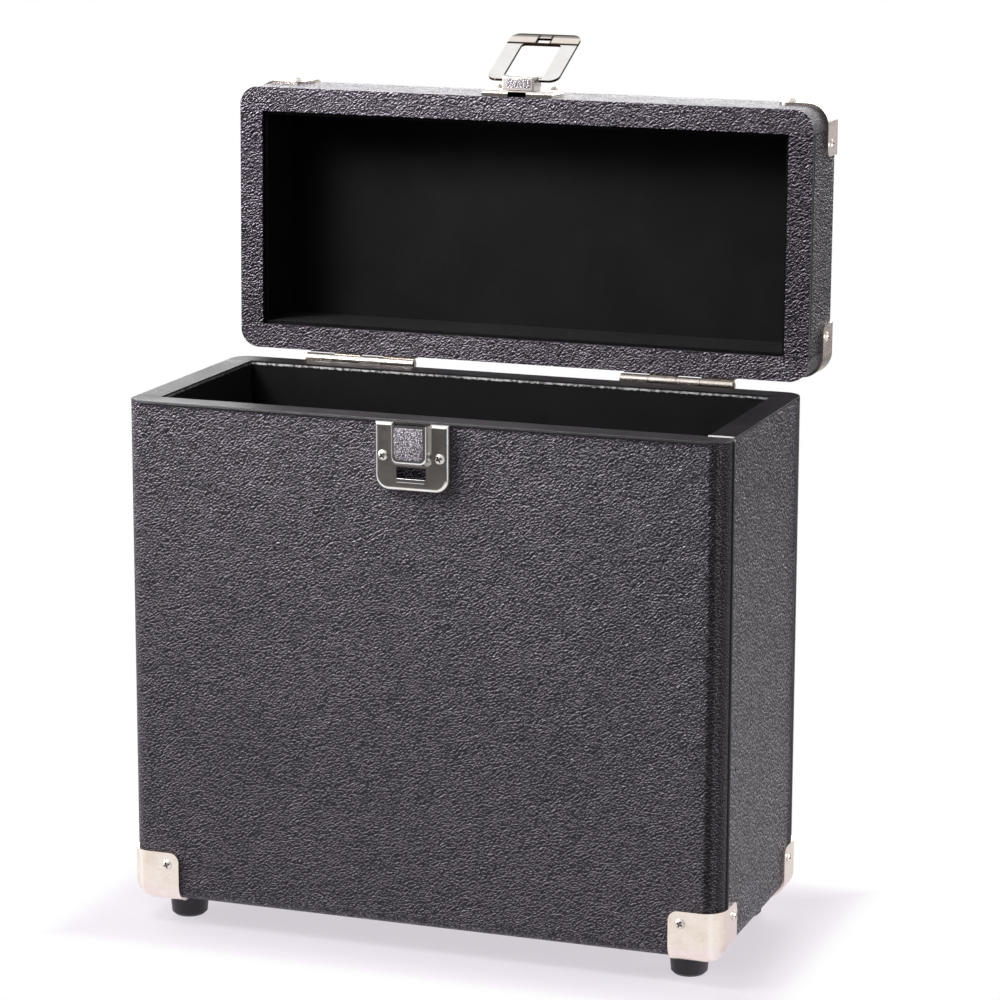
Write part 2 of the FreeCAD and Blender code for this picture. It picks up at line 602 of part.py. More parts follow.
def loft(body, name, faces, kind):
    """A solid or a cutter between two rectangles on two levels."""
    sketches = [outline(body, f"{name}_{k}", frame(x, z), "XZ_Plane", level)
                for k, (x, z, level) in enumerate(faces)]
    thing = body.newObject(f"PartDesign::{kind}", name)
    thing.Profile = sketches[0]
    thing.Sections = [sketches[1]]
    thing.Ruled = True
    doc.recompute()
    return thing


# catch plate on the body: a pressed box that the loop hooks under, open at its top, and a window
catch = tray("catch_form", HALF_D, TOP, -1, top, "plate_length")
catch_inner = tray("catch_inner", HALF_D, TOP, -1, top, "plate_length", "plate_sheet")
face_level = f"{HALF_D} + plate_proud"
box_top, box_low = f"{TOP} - box_drop", f"{TOP} - box_drop - box_length"
base_x = ("-box_base_width / 2", "box_base_width / 2")
face_x = ("-box_face_width / 2", "box_face_width / 2")
raised = loft(catch, "catch_box", [
    (base_x, (box_low, box_top), f"{face_level} - plate_sheet"),
    (face_x, (f"{box_low} + box_slope", box_top), f"{face_level} + box_proud")], "AdditiveLoft")
front_y = raised.Shape.BoundBox.YMin
low_edges = S["foot_height"] + S["body_height"] - S["box_drop"] - S["box_length"]


def corner_of_box(edge):
    low = min(v.Point.z for v in edge.Vertexes)
    deep = max(v.Point.y for v in edge.Vertexes) - min(v.Point.y for v in edge.Vertexes)
    return low < low_edges + S["box_slope"] and deep > S["box_proud"] / 2 and not along(edge, "y")


box_round = round_edges(catch, raised, "box_corner",
                        lambda e: corner_of_box(e) and near(e.BoundBox.YMin, front_y))
round_edges(catch, box_round, "box_edge",
            lambda e: near(e.BoundBox.YMax, front_y) and e.BoundBox.ZMin < box_round.Shape.BoundBox.ZMax
            - S["box_drop"])
thin_base = ("-box_base_width / 2 + plate_sheet", "box_base_width / 2 - plate_sheet")
thin_face = ("-box_face_width / 2 + plate_sheet", "box_face_width / 2 - plate_sheet")
loft(catch, "catch_hollow", [
    (thin_base, (f"{box_low} + plate_sheet", f"{TOP} + over"), f"{face_level} - plate_sheet * 2"),
    (thin_face, (f"{box_low} + box_slope + plate_sheet", f"{TOP} + over"),
     f"{face_level} + box_proud - plate_sheet")], "SubtractiveLoft")
window_x = ("-window_width / 2", "window_width / 2")
window_z = (f"{TOP} - window_drop - window_length", f"{TOP} - window_drop")
window = outline(catch, "catch_window", frame(window_x, window_z), "XZ_Plane", HALF_D)
pocket(catch, window, "plate_proud + over", reverse=True)
lip_x = ("-lip_width / 2", "lip_width / 2")
lip_z = (f"{window_z[0]} - lip_length", window_z[0])
lip = outline(catch, "catch_lip", frame(lip_x, lip_z), "XZ_Plane", f"{face_level} - plate_sheet / 2")
lip_solid = pad(catch, lip, "plate_sheet / 2 + lip_proud")
round_edges(catch, lip_solid, "lip_proud / 2",
            lambda e: along(e, "x") and near(e.BoundBox.YMin, -half_d - S["plate_proud"] - S["lip_proud"]))
keep(cut("catch_plate", catch, group("catch_cuts", catch_inner, body_holes)), "catch_plate")

# latch plate on the lid, with a notch in its rim end
lid_level = "case_depth + hinge_offset"
base = tray("latch_form", lid_level, LID_LOW, 1, lid_low, "latch_length")
base_inner = tray("latch_inner", lid_level, LID_LOW, 1, lid_low, "latch_length", "plate_sheet")
notch_x = ("-notch_width / 2", "notch_width / 2")
notch_z = (LID_LOW, f"{LID_LOW} + plate_drop + plate_sheet + over")
notch = outline(base, "latch_notch", frame(notch_x, notch_z), "XZ_Plane", lid_level)
pocket(base, notch, "plate_proud - plate_sheet", reverse=True)
hang(keep(cut("latch_base", base, group("latch_cuts", base_inner, lid_holes)), "latch_base"))

# block that carries the loop's rod, upright at its rim face and sloped behind
carrier = doc.addObject("PartDesign::Body", "block_form")
bind(carrier, "Placement.Base.x", "-latch_side")
plate_y = f"{LID_FRONT} - plate_proud"
block_y = f"{LID_FRONT} - block_proud"
rim_z = f"{LID_LOW} + block_drop"
far_z = f"{LID_LOW} + block_drop + block_length"
side_face = [(plate_y, rim_z), (block_y, rim_z), (block_y, f"{far_z} - block_slope"), (plate_y, far_z)]
profile = outline(carrier, "block_side", side_face, "YZ_Plane")
carrier_solid = pad(carrier, profile, "block_width", midplane=True)
front_edge = carrier_solid.Shape.BoundBox.YMin
round_edges(carrier, carrier_solid, "block_edge", lambda e: e.BoundBox.YMin < front_edge + S["block_edge"])
pivot_y, pivot_z = f"{LID_FRONT} - pivot_proud", f"{LID_LOW} + pivot_drop"
eye = rod("block_eye", ("-block_width - latch_side", "block_width"), pivot_y, pivot_z, "loop_rod_radius + rod_running")
hang(keep(cut("latch_block", carrier, eye), "latch_block"))

# loop: a flat frame that swings on a rod through the block, drawn about that rod
frame_body = doc.addObject("PartDesign::Body", "loop_frame")
loop_x = ("-loop_width / 2", "loop_width / 2")
loop_z = ("-loop_heel", "loop_reach + loop_bar")
loop_face = outline(frame_body, "loop_face", frame(loop_x, loop_z), "XZ_Plane")
loop_plate = pad(frame_body, loop_face, "loop_sheet", midplane=True)
loop_round = round_edges(frame_body, loop_plate, "loop_corner", lambda e: along(e, "y"))
hole_x = ("-loop_window / 2", "loop_window / 2")
loop_hole = outline(frame_body, "loop_hole", frame(hole_x, ("loop_heel", "loop_reach")), "XZ_Plane")
loop_open = pocket(frame_body, loop_hole, "loop_sheet + over", midplane=True)
inner_low, inner_high = S["loop_heel"], S["loop_reach"]
loop_inner = round_edges(frame_body, loop_open, "loop_inner_corner", lambda e: along(e, "y")
                         and near(abs(e.CenterOfMass.x), S["loop_window"] / 2)
                         and near(e.CenterOfMass.z, inner_high))
gap_x = ("-block_width / 2 - loop_side_gap", "block_width / 2 + loop_side_gap")
gap_face = outline(frame_body, "loop_gap", frame(gap_x, ("-loop_heel - over", "loop_heel + over")),
                   "XZ_Plane")
pocket(frame_body, gap_face, "loop_sheet + over", midplane=True)
slot_x = ("-loop_slot_width / 2", "loop_slot_width / 2")
slot_low = "loop_reach + loop_slot_edge"
slot_face = outline(frame_body, "loop_slot", frame(slot_x, (slot_low, f"{slot_low} + loop_slot_length")),
                    "XZ_Plane")
pocket(frame_body, slot_face, "loop_sheet + over", midplane=True)
rod_x = ("-block_width / 2 - loop_side_gap - loop_rod_radius",
         "block_width / 2 + loop_side_gap + loop_rod_radius")
loop = fuse("latch_loop", frame_body, rod("loop_rod", rod_x, "0", "0", "loop_rod_radius"))
hang(keep(loop, "latch_loop"), pivot_y, pivot_z, "90 - loop_lean", "-latch_side")

# forms of the lid, closed: outside of the covering, and outside of the boards
lid_y = (LID_FRONT, LID_BACK)
lid_outside = form("lid_outside", all_x, lid_y, (LID_LOW, LID_TOP), "edge_round", "low_round", True)
lid_inside_y = (f"{LID_FRONT} + leather", f"{LID_BACK} - leather")
lid_boards = form("lid_boards", inside_x, lid_inside_y,
                  (f"{LID_LOW} + leather", f"{LID_TOP} - leather"),
                  "edge_round - leather", "low_round - leather", True)
lid_drills = group("lid_drills", lid_holes, hinge_lid_holes, handle_holes)

# boards of the lid
ceiling = f"{LID_TOP} - leather - board"
lid_wall_z = (LID_LOW, ceiling)
lid_side_y = (f"{LID_FRONT} + {SKIN}", f"{LID_BACK} - {SKIN}")
lid_zones = {
    "lid_panel_top": (wide_x, lid_y, (ceiling, LID_TOP)),
    "lid_panel_front": (wide_x, (LID_FRONT, lid_side_y[0]), lid_wall_z),
    "lid_panel_back": (wide_x, (lid_side_y[1], LID_BACK), lid_wall_z),
    "lid_panel_left": ((f"-{HALF_W}", f"-{HALF_W} + {SKIN}"), lid_side_y, lid_wall_z),
    "lid_panel_right": ((f"{HALF_W} - {SKIN}", HALF_W), lid_side_y, lid_wall_z),
}
for label, zone in lid_zones.items():
    raw = common(f"{label}_raw", lid_boards, block(f"{label}_zone", *zone))
    hang(keep(cut(label, raw, lid_drills), label))

# covering of the lid, turned in over the rim and down inside the walls
lid_shell = cut("lid_shell", lid_outside, lid_boards)
mouth_wide_x = (f"-{HALF_W} + {SKIN}", f"{HALF_W} - {SKIN}")
turned_x = (f"-{HALF_W} + {LID_RIM}", f"{HALF_W} - {LID_RIM}")
turned_y = (f"{LID_FRONT} + {LID_RIM}", f"{LID_BACK} - {LID_RIM}")
turn_in = block("lid_turn_in_block", mouth_wide_x, lid_side_y, lid_wall_z)
open_mouth = block("lid_mouth", turned_x, turned_y, ("-over", ceiling))
lid_skin = cut("lid_skin", fuse("lid_skin_full", lid_shell, turn_in), open_mouth)
lid_seam_y = turned_y
lid_tall = ("-over", f"{LID_TOP} + over")
lid_wrap_zones = []
for name, sx in SIDES:
    far = f"{HALF_W} + over"
    x = (f"{HALF_W} - {LID_RIM}", far) if sx > 0 else (f"-({far})", f"-{HALF_W} + {LID_RIM}")
    wide = (f"{x[0]} - seam_gap", x[1]) if sx > 0 else (x[0], f"{x[1]} + seam_gap")
    y = (f"{lid_seam_y[0]} - seam_gap", f"{lid_seam_y[1]} + seam_gap")
    lid_wrap_zones.append(block(f"lid_wrap_zone_{name}", wide, y, lid_tall))
    raw = common(f"lid_cover_{name}_raw", lid_skin, block(f"lid_side_zone_{name}", x, lid_seam_y, lid_tall))
    hang(keep(cut(f"lid_cover_{name}", raw, lid_drills), f"lid_cover_{name}"))
lid_wrap = cut("lid_wrap_raw", lid_skin, group("lid_wrap_gaps", *lid_wrap_zones))
hang(keep(cut("lid_cover_wrap", lid_wrap, lid_drills), "lid_cover_wrap"))

# lining of the lid: a back over the whole ceiling, and walls that stop short of the rim
lining_low = f"{ceiling} - flannel"
lid_ceiling = block("lid_lining_back", turned_x, turned_y, (lining_low, ceiling))
hang(keep(group("lid_lining_top", lid_ceiling), "lid_lining_top"))
lid_lining = block("lid_lining_outer", turned_x, turned_y, (f"{LID_LOW} + lid_lining_drop", lining_low))
lid_hollow_x = (f"{turned_x[0]} + flannel", f"{turned_x[1]} - flannel")
lid_hollow_y = (f"{turned_y[0]} + flannel", f"{turned_y[1]} - flannel")
lid_hollow = block("lid_lining_inner", lid_hollow_x, lid_hollow_y, ("0", LID_TOP))
hang(keep(cut("lid_lining_walls", lid_lining, lid_hollow), "lid_lining_walls"))

# corner protectors of the lid, at its four top corners
lid_outer_y = (f"{LID_FRONT} - wing_sheet", f"{LID_BACK} + wing_sheet")
lid_clad = form("lid_clad", outer_x, lid_outer_y, (f"{LID_TOP} - wing_leg * 3 / 2", f"{LID_TOP} + wing_sheet"),
                "edge_round + wing_sheet", "low_round + wing_sheet", True)
lid_edges = {-1: LID_FRONT, 1: LID_BACK}
lid_corners = protectors("high", cut("lid_clad_shell", lid_clad, lid_outside), lid_edges, LID_TOP, 1,
                         f"-({LID_MID})", lid_drills, "lid_corner_{end}_{side}")
for node in lid_corners.values():
    hang(node)

# handle: a bow that lies back on the lid, drawn about its own pins
bow = doc.addObject("PartDesign::Body", "handle_bow")
bow_x = ("-handle_spread - arm_width / 2", "handle_spread + arm_width / 2")
bow_y = ("-arm_width / 2", "handle_reach + grip_width / 2")
bow_plan = outline(bow, "bow_plan", frame(bow_x, bow_y), level="-grip_thickness / 2")
bow_solid = pad(bow, bow_plan, "grip_thickness")
bow_far = bow_solid.Shape.BoundBox.YMax
bow_round = round_edges(bow, bow_solid, "bow_corner", lambda e: along(e, "z") and near(e.BoundBox.YMin, bow_far))
finger_x = ("-handle_spread + arm_width / 2", "handle_spread - arm_width / 2")
finger_y = ("-arm_width / 2 - over", "handle_reach - grip_width / 2")
finger = outline(bow, "bow_finger", frame(finger_x, finger_y), level="-grip_thickness / 2 - over")
bow_open = pocket(bow, finger, "grip_thickness + over * 2", reverse=True)
finger_far = S["handle_reach"] - S["grip_width"] / 2
bow_inner = round_edges(bow, bow_open, "bow_inner_corner", lambda e: along(e, "z")
                        and near(e.BoundBox.YMin, finger_far) and near(e.BoundBox.YMax, finger_far))
half_thick = S["grip_thickness"] / 2
round_edges(bow, bow_inner, "grip_round", lambda e: near(abs(e.BoundBox.ZMin), half_thick)
            and near(e.BoundBox.ZMin, e.BoundBox.ZMax))
pin_hole = rod("handle_pin_hole", (f"{bow_x[0]} - over", f"{bow_x[1]} + over"), "0", "0",
               "handle_pin_radius + handle_pin_running")
handle_y, handle_z = LID_MID, f"{LID_TOP} + handle_rise"
hang(keep(cut("handle_grip", bow, pin_hole), "handle_grip"), handle_y, handle_z)

# brackets of the handle: a plate, an ear beside the bow's arm, and a pin into the arm
for side, sx in SIDES:
    name = f"handle_bracket_{side}"
    inner = f"(handle_spread + arm_width / 2 + ear_gap)"
    places = sorted([(1, inner), (2, f"({inner} + ear_width)"), (3, f"({inner} + bracket_width)")])
    x = [f"({sx}) * {text}" for _, text in places]
    plate_x = (x[0], x[2]) if sx > 0 else (x[2], x[0])
    ear_x = (x[0], x[1]) if sx > 0 else (x[1], x[0])
    body = doc.addObject("PartDesign::Body", f"{name}_form")
    plan = outline(body, f"{name}_plan", frame(plate_x, (f"{LID_MID} - bracket_length / 2",
                                                         f"{LID_MID} + bracket_length / 2")), level=LID_TOP)
    plate = pad(body, plan, "bracket_sheet")
    round_edges(body, plate, "bracket_corner", lambda e: along(e, "z"))
    ear_y = (f"{LID_MID} - ear_radius", f"{LID_MID} + ear_radius")
    ear = block(f"{name}_ear", ear_x, ear_y, (LID_TOP, handle_z))
    crown = rod(f"{name}_crown", ear_x, handle_y, handle_z, "ear_radius")
    reach = f"({sx}) * (handle_spread - arm_width / 4)"
    pin_x = (reach, ear_x[1]) if sx > 0 else (ear_x[0], reach)
    pin = rod(f"{name}_pin", pin_x, handle_y, handle_z, "handle_pin_radius")
    whole = fuse(f"{name}_whole", body, ear, crown, pin)
    hang(keep(cut(name, whole, handle_holes), name))

# every object is sound, and every sub-part is one or more valid solids
doc.recompute()
failed = [thing.Name for thing in doc.Objects if "Invalid" in thing.State or "Error" in thing.State]
if failed:
    raise RuntimeError(f"failed objects: {failed}")
for piece in pieces:
    if piece.Shape.isNull() or not piece.Shape.isValid() or not piece.Shape.Solids:
        raise RuntimeError(f"{piece.Label} is not a sound solid")

os.makedirs("parts", exist_ok=True)
for piece in pieces:
    piece.Shape.exportStep(os.path.join("parts", f"{piece.Label}.step"))
    print(f"{piece.Label:26s} {len(piece.Shape.Solids):3d} {piece.Shape.Volume:12.1f}")
print(len(pieces), "sub-parts")
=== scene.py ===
import json
import math
import bmesh
import bpy
from mathutils import Matrix, Vector

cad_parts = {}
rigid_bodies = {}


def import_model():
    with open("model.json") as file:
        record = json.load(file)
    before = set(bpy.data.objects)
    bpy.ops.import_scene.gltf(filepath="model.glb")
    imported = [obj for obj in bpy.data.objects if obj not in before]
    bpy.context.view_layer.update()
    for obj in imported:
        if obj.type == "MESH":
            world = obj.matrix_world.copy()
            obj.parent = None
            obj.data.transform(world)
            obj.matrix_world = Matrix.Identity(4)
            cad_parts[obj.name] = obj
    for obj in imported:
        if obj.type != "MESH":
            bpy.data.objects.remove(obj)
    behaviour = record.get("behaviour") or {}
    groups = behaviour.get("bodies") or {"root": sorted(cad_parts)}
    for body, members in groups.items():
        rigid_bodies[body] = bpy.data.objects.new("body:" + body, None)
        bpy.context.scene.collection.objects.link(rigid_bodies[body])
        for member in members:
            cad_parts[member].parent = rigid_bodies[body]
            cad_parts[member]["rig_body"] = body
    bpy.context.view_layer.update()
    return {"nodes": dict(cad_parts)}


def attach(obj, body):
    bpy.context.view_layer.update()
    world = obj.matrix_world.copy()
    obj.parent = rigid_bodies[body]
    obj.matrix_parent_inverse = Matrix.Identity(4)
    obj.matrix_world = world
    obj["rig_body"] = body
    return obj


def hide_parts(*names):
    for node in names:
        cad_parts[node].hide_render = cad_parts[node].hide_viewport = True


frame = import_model()
nodes = frame["nodes"]
scene = bpy.context.scene


# Places that the looks and the added pieces share, in metres and radians

CASE_HALF_X, CASE_HALF_Y = 0.175, 0.078       # half the box, without its protectors
SEAM_Y = 0.0625                               # where the wrap and a side sheet meet
SEAM_TOP, SEAM_FOOT = 0.3020, 0.0330
LINING_TOP = 0.3019
HINGE_AXIS = Vector((0.0, 0.082, 0.30425))
LID_ANGLE = math.radians(91)                  # of the lid at rest, from shut
LID_FRONT_Y = -0.1595                         # the shut lid's front face, from the hinge axis
LATCH_X = -0.0022                             # middle of the catch and of the latch
CATCH_PLATE_Y = -0.0822                       # between the catch's flat plate and its raised box
LOOP_LEAN = math.radians(64)                  # of the open loop, from upright
LOOP_PIVOT = (0.0, 0.0964082, 0.4736243)
LOOP_WAY = (0.0, math.sin(LOOP_LEAN), math.cos(LOOP_LEAN))
LOOP_BAR_MIDDLE, LOOP_BAR_HALF = 0.0432, 0.0056
GRAIN_SLANT = math.radians(28)


# Materials: a small builder for node trees

SPREAD = (0.3, 0.7)                           # where most values of a noise lie


class Tree:
    """A node tree, built call by call."""

    def __init__(self, node_tree):
        self.nodes = node_tree.nodes
        self.links = node_tree.links

    def add(self, kind, settings=None, **sockets):
        """A new node. Its sockets are given by name, with _ for a space, or as i0, i1 and so on."""
        node = self.nodes.new(kind)
        for key, value in (settings or {}).items():
            setattr(node, key, value)
        for key, value in sockets.items():
            self.put(node, key, value)
        return node

    def put(self, node, socket, value):
        by_number = socket[0] == "i" and socket[1:].isdigit()
        where = node.inputs[int(socket[1:]) if by_number else socket.replace("_", " ")]
        if isinstance(value, bpy.types.NodeSocket):
            self.links.new(value, where)
        else:
            where.default_value = value

    def math(self, operation, a, b=0.0):
        return self.add("ShaderNodeMath", {"operation": operation}, i0=a, i1=b).outputs[0]

    def vector(self, operation, a, b=(0.0, 0.0, 0.0), output=0):
        return self.add("ShaderNodeVectorMath", {"operation": operation}, i0=a, i1=b).outputs[output]

    def axes(self, vector):
        return self.add("ShaderNodeSeparateXYZ", Vector=vector).outputs

    def place(self):
        return self.add("ShaderNodeTexCoord").outputs["Object"]

    def facing(self):
        """The direction that the surface faces, in the frame."""
        return self.add("ShaderNodeTexCoord").outputs["Normal"]

    def turned(self, where, angles):
        return self.add("ShaderNodeVectorRotate", {"rotation_type": "EULER_XYZ"}, Vector=where,
                        Rotation=angles).outputs[0]

    def noise(self, where, scale, detail=2.0, rough=0.5, distortion=0.0, output="Fac"):
        return self.add("ShaderNodeTexNoise", Vector=where, Scale=scale, Detail=detail, Roughness=rough,
                        Distortion=distortion).outputs[output]

    def cloud(self, where, scale):
        """An uneven noise with finer and finer parts, for stains, tufts and grit."""
        return self.noise(where, scale, detail=3.0, rough=0.6)

    def warped(self, where, scale, reach):
        """The place, pushed about by a noise over a distance of up to reach."""
        push = self.vector("MULTIPLY", self.noise(where, scale, output="Color"), (reach,) * 3)
        return self.vector("ADD", where, push)

    def cells(self, where, scale=1.0, feature="F1"):
        return self.add("ShaderNodeTexVoronoi", {"feature": feature}, Vector=where,
                        Scale=scale).outputs["Distance"]

    def ramp(self, value, low, high, to_low=0.0, to_high=1.0, smooth=True):
        kind = "SMOOTHSTEP" if smooth else "LINEAR"
        return self.add("ShaderNodeMapRange", {"interpolation_type": kind}, Value=value, From_Min=low,
                        From_Max=high, To_Min=to_low, To_Max=to_high).outputs["Result"]

    def band(self, value, low, low_full, high_full, high):
        """1 between the two middle numbers, falling to 0 at the outer ones."""
        return self.math("MULTIPLY", self.ramp(value, low, low_full),
                         self.ramp(value, high_full, high, 1.0, 0.0))

    def mix(self, factor, a, b):
        return self.add("ShaderNodeMix", {"data_type": "RGBA"}, i0=factor, i6=a, i7=b).outputs[2]

    def bump(self, height, distance, strength=1.0, **under):
        return self.add("ShaderNodeBump", Height=height, Distance=distance, Strength=strength,
                        **under).outputs[0]

    def open_share(self, reach, closed=0.45, clear=0.9):
        """1 where nothing stands within reach of the surface, down to 0 in a corner or a recess."""
        node = self.add("ShaderNodeAmbientOcclusion", {"samples": 6}, Distance=reach)
        return self.ramp(node.outputs["AO"], closed, clear)


class Surface(Tree):
    """A material with its shader."""

    def __init__(self, name):
        self.mat = bpy.data.materials.new(name)
        self.mat.use_nodes = True
        super().__init__(self.mat.node_tree)
        self.shader = self.nodes["Principled BSDF"]
        self.out = self.nodes["Material Output"]

    def finish(self, **sockets):
        """Sets the shader's sockets and gives the material."""
        for key, value in sockets.items():
            self.put(self.shader, key, value)
        return self.mat


def tone(code):
    """A colour written as six hex digits, in linear light."""
    channels = [int(code[k:k + 2], 16) / 255 for k in (0, 2, 4)]
    linear = [c / 12.92 if c < 0.04045 else ((c + 0.055) / 1.055) ** 2.4 for c in channels]
    return (*linear, 1.0)


# Black for painted shade in corners, recesses and gaps
PAINTED_SHADE_BLACK = tone("020202")
# The second tone is painted shade on corners where the cloth turns round to the right
CLOTH_GLINT, CORNER_SHADE_TONE = tone("f5effb"), tone("0a090b")
LINT, FRAYED_EDGE = tone("4a4648"), tone("f2efef")
# A painted highlight and painted shade for the protectors' bends, then painted reflections for the loop's bar
# and edges
CREST_HIGHLIGHT, WING_SHADE = tone("fff8f0"), tone("e2d2cb")
BAR_REFLECTION_TINT, EDGE_REFLECTION_DARK = tone("ecd6bc"), tone("35291f")


def embossed(t, where, angles, cell):
    """The height of the grain: small rounded pebbles along a slant, with longer creases among them."""
    bent = where
    for scale, reach in ((60.0, 0.003), (420.0, 0.0006)):
        sway = t.vector("SUBTRACT", t.noise(where, scale, detail=1.0, output="Color"), (0.5, 0.5, 0.5))
        bent = t.vector("ADD", bent, t.vector("MULTIPLY", sway, (reach,) * 3))
    turned = t.turned(bent, angles)

    def bumps(stretch, gap):
        scaled = t.vector("MULTIPLY", turned, tuple(s / c for s, c in zip(stretch, cell)))
        return t.ramp(t.cells(scaled, feature="DISTANCE_TO_EDGE"), 0.0, gap)

    pebbles = bumps(stretch=(1.0, 1.0, 1.0), gap=0.3)
    creases = bumps(stretch=(0.52, 0.78, 0.78), gap=0.11)
    pebble_share, fine_share = 0.6, 0.25
    crease_share = t.ramp(t.noise(where, 90.0), 0.38, 0.62, 0.4, 0.75)
    height = t.math("ADD", t.math("MULTIPLY", pebbles, pebble_share),
                    t.math("MULTIPLY", creases, crease_share))
    return t.math("ADD", height, t.math("MULTIPLY", t.noise(where, 1500.0), fine_share))


def leatherette(name, angles, cell, cloth_and_painted_light_tones, depth, gloss, bent=0.0):
    """Embossed leather cloth, with a painted highlight on the upper slopes of its pebbles and painted shade
    below them.

    A slope is read from the height a short step further up, or further back on a level face. gloss is
    the shine on the lower and on the upper slopes. bent is how strongly painted shade darkens the cloth
    where it turns round to the right, less so along a painted highlight in the middle of the turn.
    """
    step_length, corner_reach = 0.0005, 0.002
    t = Surface(name)
    where = t.place()
    height = embossed(t, where, angles, cell)
    to_right, _, to_top = t.axes(t.facing())
    level = t.math("ABSOLUTE", to_top)
    step = t.add("ShaderNodeCombineXYZ", Y=t.ramp(level, 0.0, 1.0, 0.0, step_length),
                 Z=t.ramp(level, 0.0, 1.0, step_length, 0.0)).outputs[0]
    height_ahead = embossed(t, t.vector("ADD", where, step), angles, cell)
    cloud = t.cloud(where, 12.0)
    # Painted highlight on the pebbles' upper slopes and painted shade on their lower slopes, read from the
    # slope
    slope = t.math("ADD", t.math("SUBTRACT", height, height_ahead), t.ramp(cloud, *SPREAD, -0.04, 0.04))
    dark, middle, light = (tone(code) for code in cloth_and_painted_light_tones)
    colour = t.mix(t.ramp(slope, 0.12, 0.58), middle, light)
    colour = t.mix(t.ramp(slope, -0.65, -0.08), dark, colour)
    shine = t.ramp(slope, -0.4, 0.4, *gloss)
    # Painted shade where the cloth turns round to the right, lighter along a painted highlight in the middle
    # of the turn
    if bent:
        painted_highlight_band = t.band(to_right, 0.4, 0.54, 0.64, 0.8)
        painted_corner_shade = t.math("SUBTRACT", t.ramp(to_right, 0.0, 0.28), t.math("MULTIPLY", painted_highlight_band, 0.6))
        colour = t.mix(t.math("MULTIPLY", painted_corner_shade, bent), colour, CORNER_SHADE_TONE)
        shine = t.math("MULTIPLY", shine, t.ramp(painted_corner_shade, 0.0, 1.0, 1.0, 1.0 - 0.92 * bent))
    rough = t.math("ADD", t.ramp(height, 0.2, 1.2, 0.46, 0.34), t.ramp(cloud, *SPREAD, -0.03, 0.03))
    # Painted shade: the cloth turns black in corners and beside the parts that stand on it
    return t.finish(Base_Color=t.mix(t.open_share(corner_reach), PAINTED_SHADE_BLACK, colour),
                    Roughness=rough,
                    Normal=t.bump(height, depth),
                    Specular_Tint=CLOTH_GLINT,
                    Specular_IOR_Level=shine)


def smooth_leatherette(name, dark, light, shine=0.55):
    """The same cloth pulled flat over a rim: only a faint fine grain."""
    t = Surface(name)
    where = t.place()
    pebbles = t.cells(t.warped(where, 180.0, 0.002), 620.0)
    fine = t.noise(where, 2400.0, detail=3.0)
    cloud = t.cloud(where, 22.0)
    height = t.math("SUBTRACT", t.math("MULTIPLY", fine, 0.3), t.math("MULTIPLY", pebbles, 0.7))
    return t.finish(Base_Color=t.mix(t.ramp(cloud, *SPREAD), tone(dark), tone(light)),
                    Roughness=t.ramp(cloud, *SPREAD, 0.46, 0.56),
                    Normal=t.bump(height, distance=0.0003),
                    Specular_IOR_Level=shine)


def flannel(name, dark, light, cut_edge=None, shine=0.15, sheen=0.06):
    """Short brushed pile, nearly black, with a nap in slow waves and pale lint.

    cut_edge is the height above which the pile is cut, pale and frayed.
    """
    t = Surface(name)
    where = t.place()
    pile = t.noise(where, 3200.0, detail=4.0, rough=0.7)
    clumps = t.cloud(where, 650.0)
    nap = t.noise(where, 26.0, detail=3.0, rough=0.6, distortion=0.6)
    blend = t.math("ADD", t.math("MULTIPLY", clumps, 0.6), t.math("MULTIPLY", nap, 0.5))
    colour = t.mix(t.ramp(blend, 0.4, 0.75), tone(dark), tone(light))
    specks = t.ramp(t.cells(where, 900.0), 0.02, 0.18, 1.0, 0.0)
    lint = t.math("MULTIPLY", specks, t.ramp(t.noise(where, 240.0, detail=1.0), 0.62, 0.72))
    colour = t.mix(t.math("MULTIPLY", lint, 0.35), colour, LINT)
    if cut_edge is not None:
        sharpness, unevenness = 0.0001, 0.0003
        level = t.math("ADD", t.axes(where)[2], t.ramp(clumps, *SPREAD, -unevenness, unevenness))
        fray = t.ramp(level, cut_edge - sharpness, cut_edge + sharpness)
        broken = t.math("MULTIPLY", t.ramp(pile, 0.35, 0.6, 0.3, 1.0),
                        t.ramp(t.noise(where, 420.0), 0.35, 0.6, 0.2, 1.0))
        colour = t.mix(t.math("MULTIPLY", fray, broken), colour, FRAYED_EDGE)
    tufts = t.math("ADD", pile, t.math("MULTIPLY", clumps, 0.8))
    return t.finish(Base_Color=colour,
                    Roughness=t.ramp(clumps, *SPREAD, 0.9, 1.0),
                    Normal=t.bump(tufts, distance=0.0006, strength=0.8),
                    Specular_IOR_Level=shine,
                    Sheen_Weight=sheen,
                    Sheen_Roughness=0.5)


NICKEL_WAVE = 0.00004                         # how deep the plate's unevenness is


def tarnish(t, cloud, where, spot_scale):
    """Broad stains with small spots in them."""
    spots = t.noise(where, spot_scale, detail=3.0, rough=0.7)
    return t.math("ADD", t.math("MULTIPLY", cloud, 0.7), t.math("MULTIPLY", spots, 0.35))


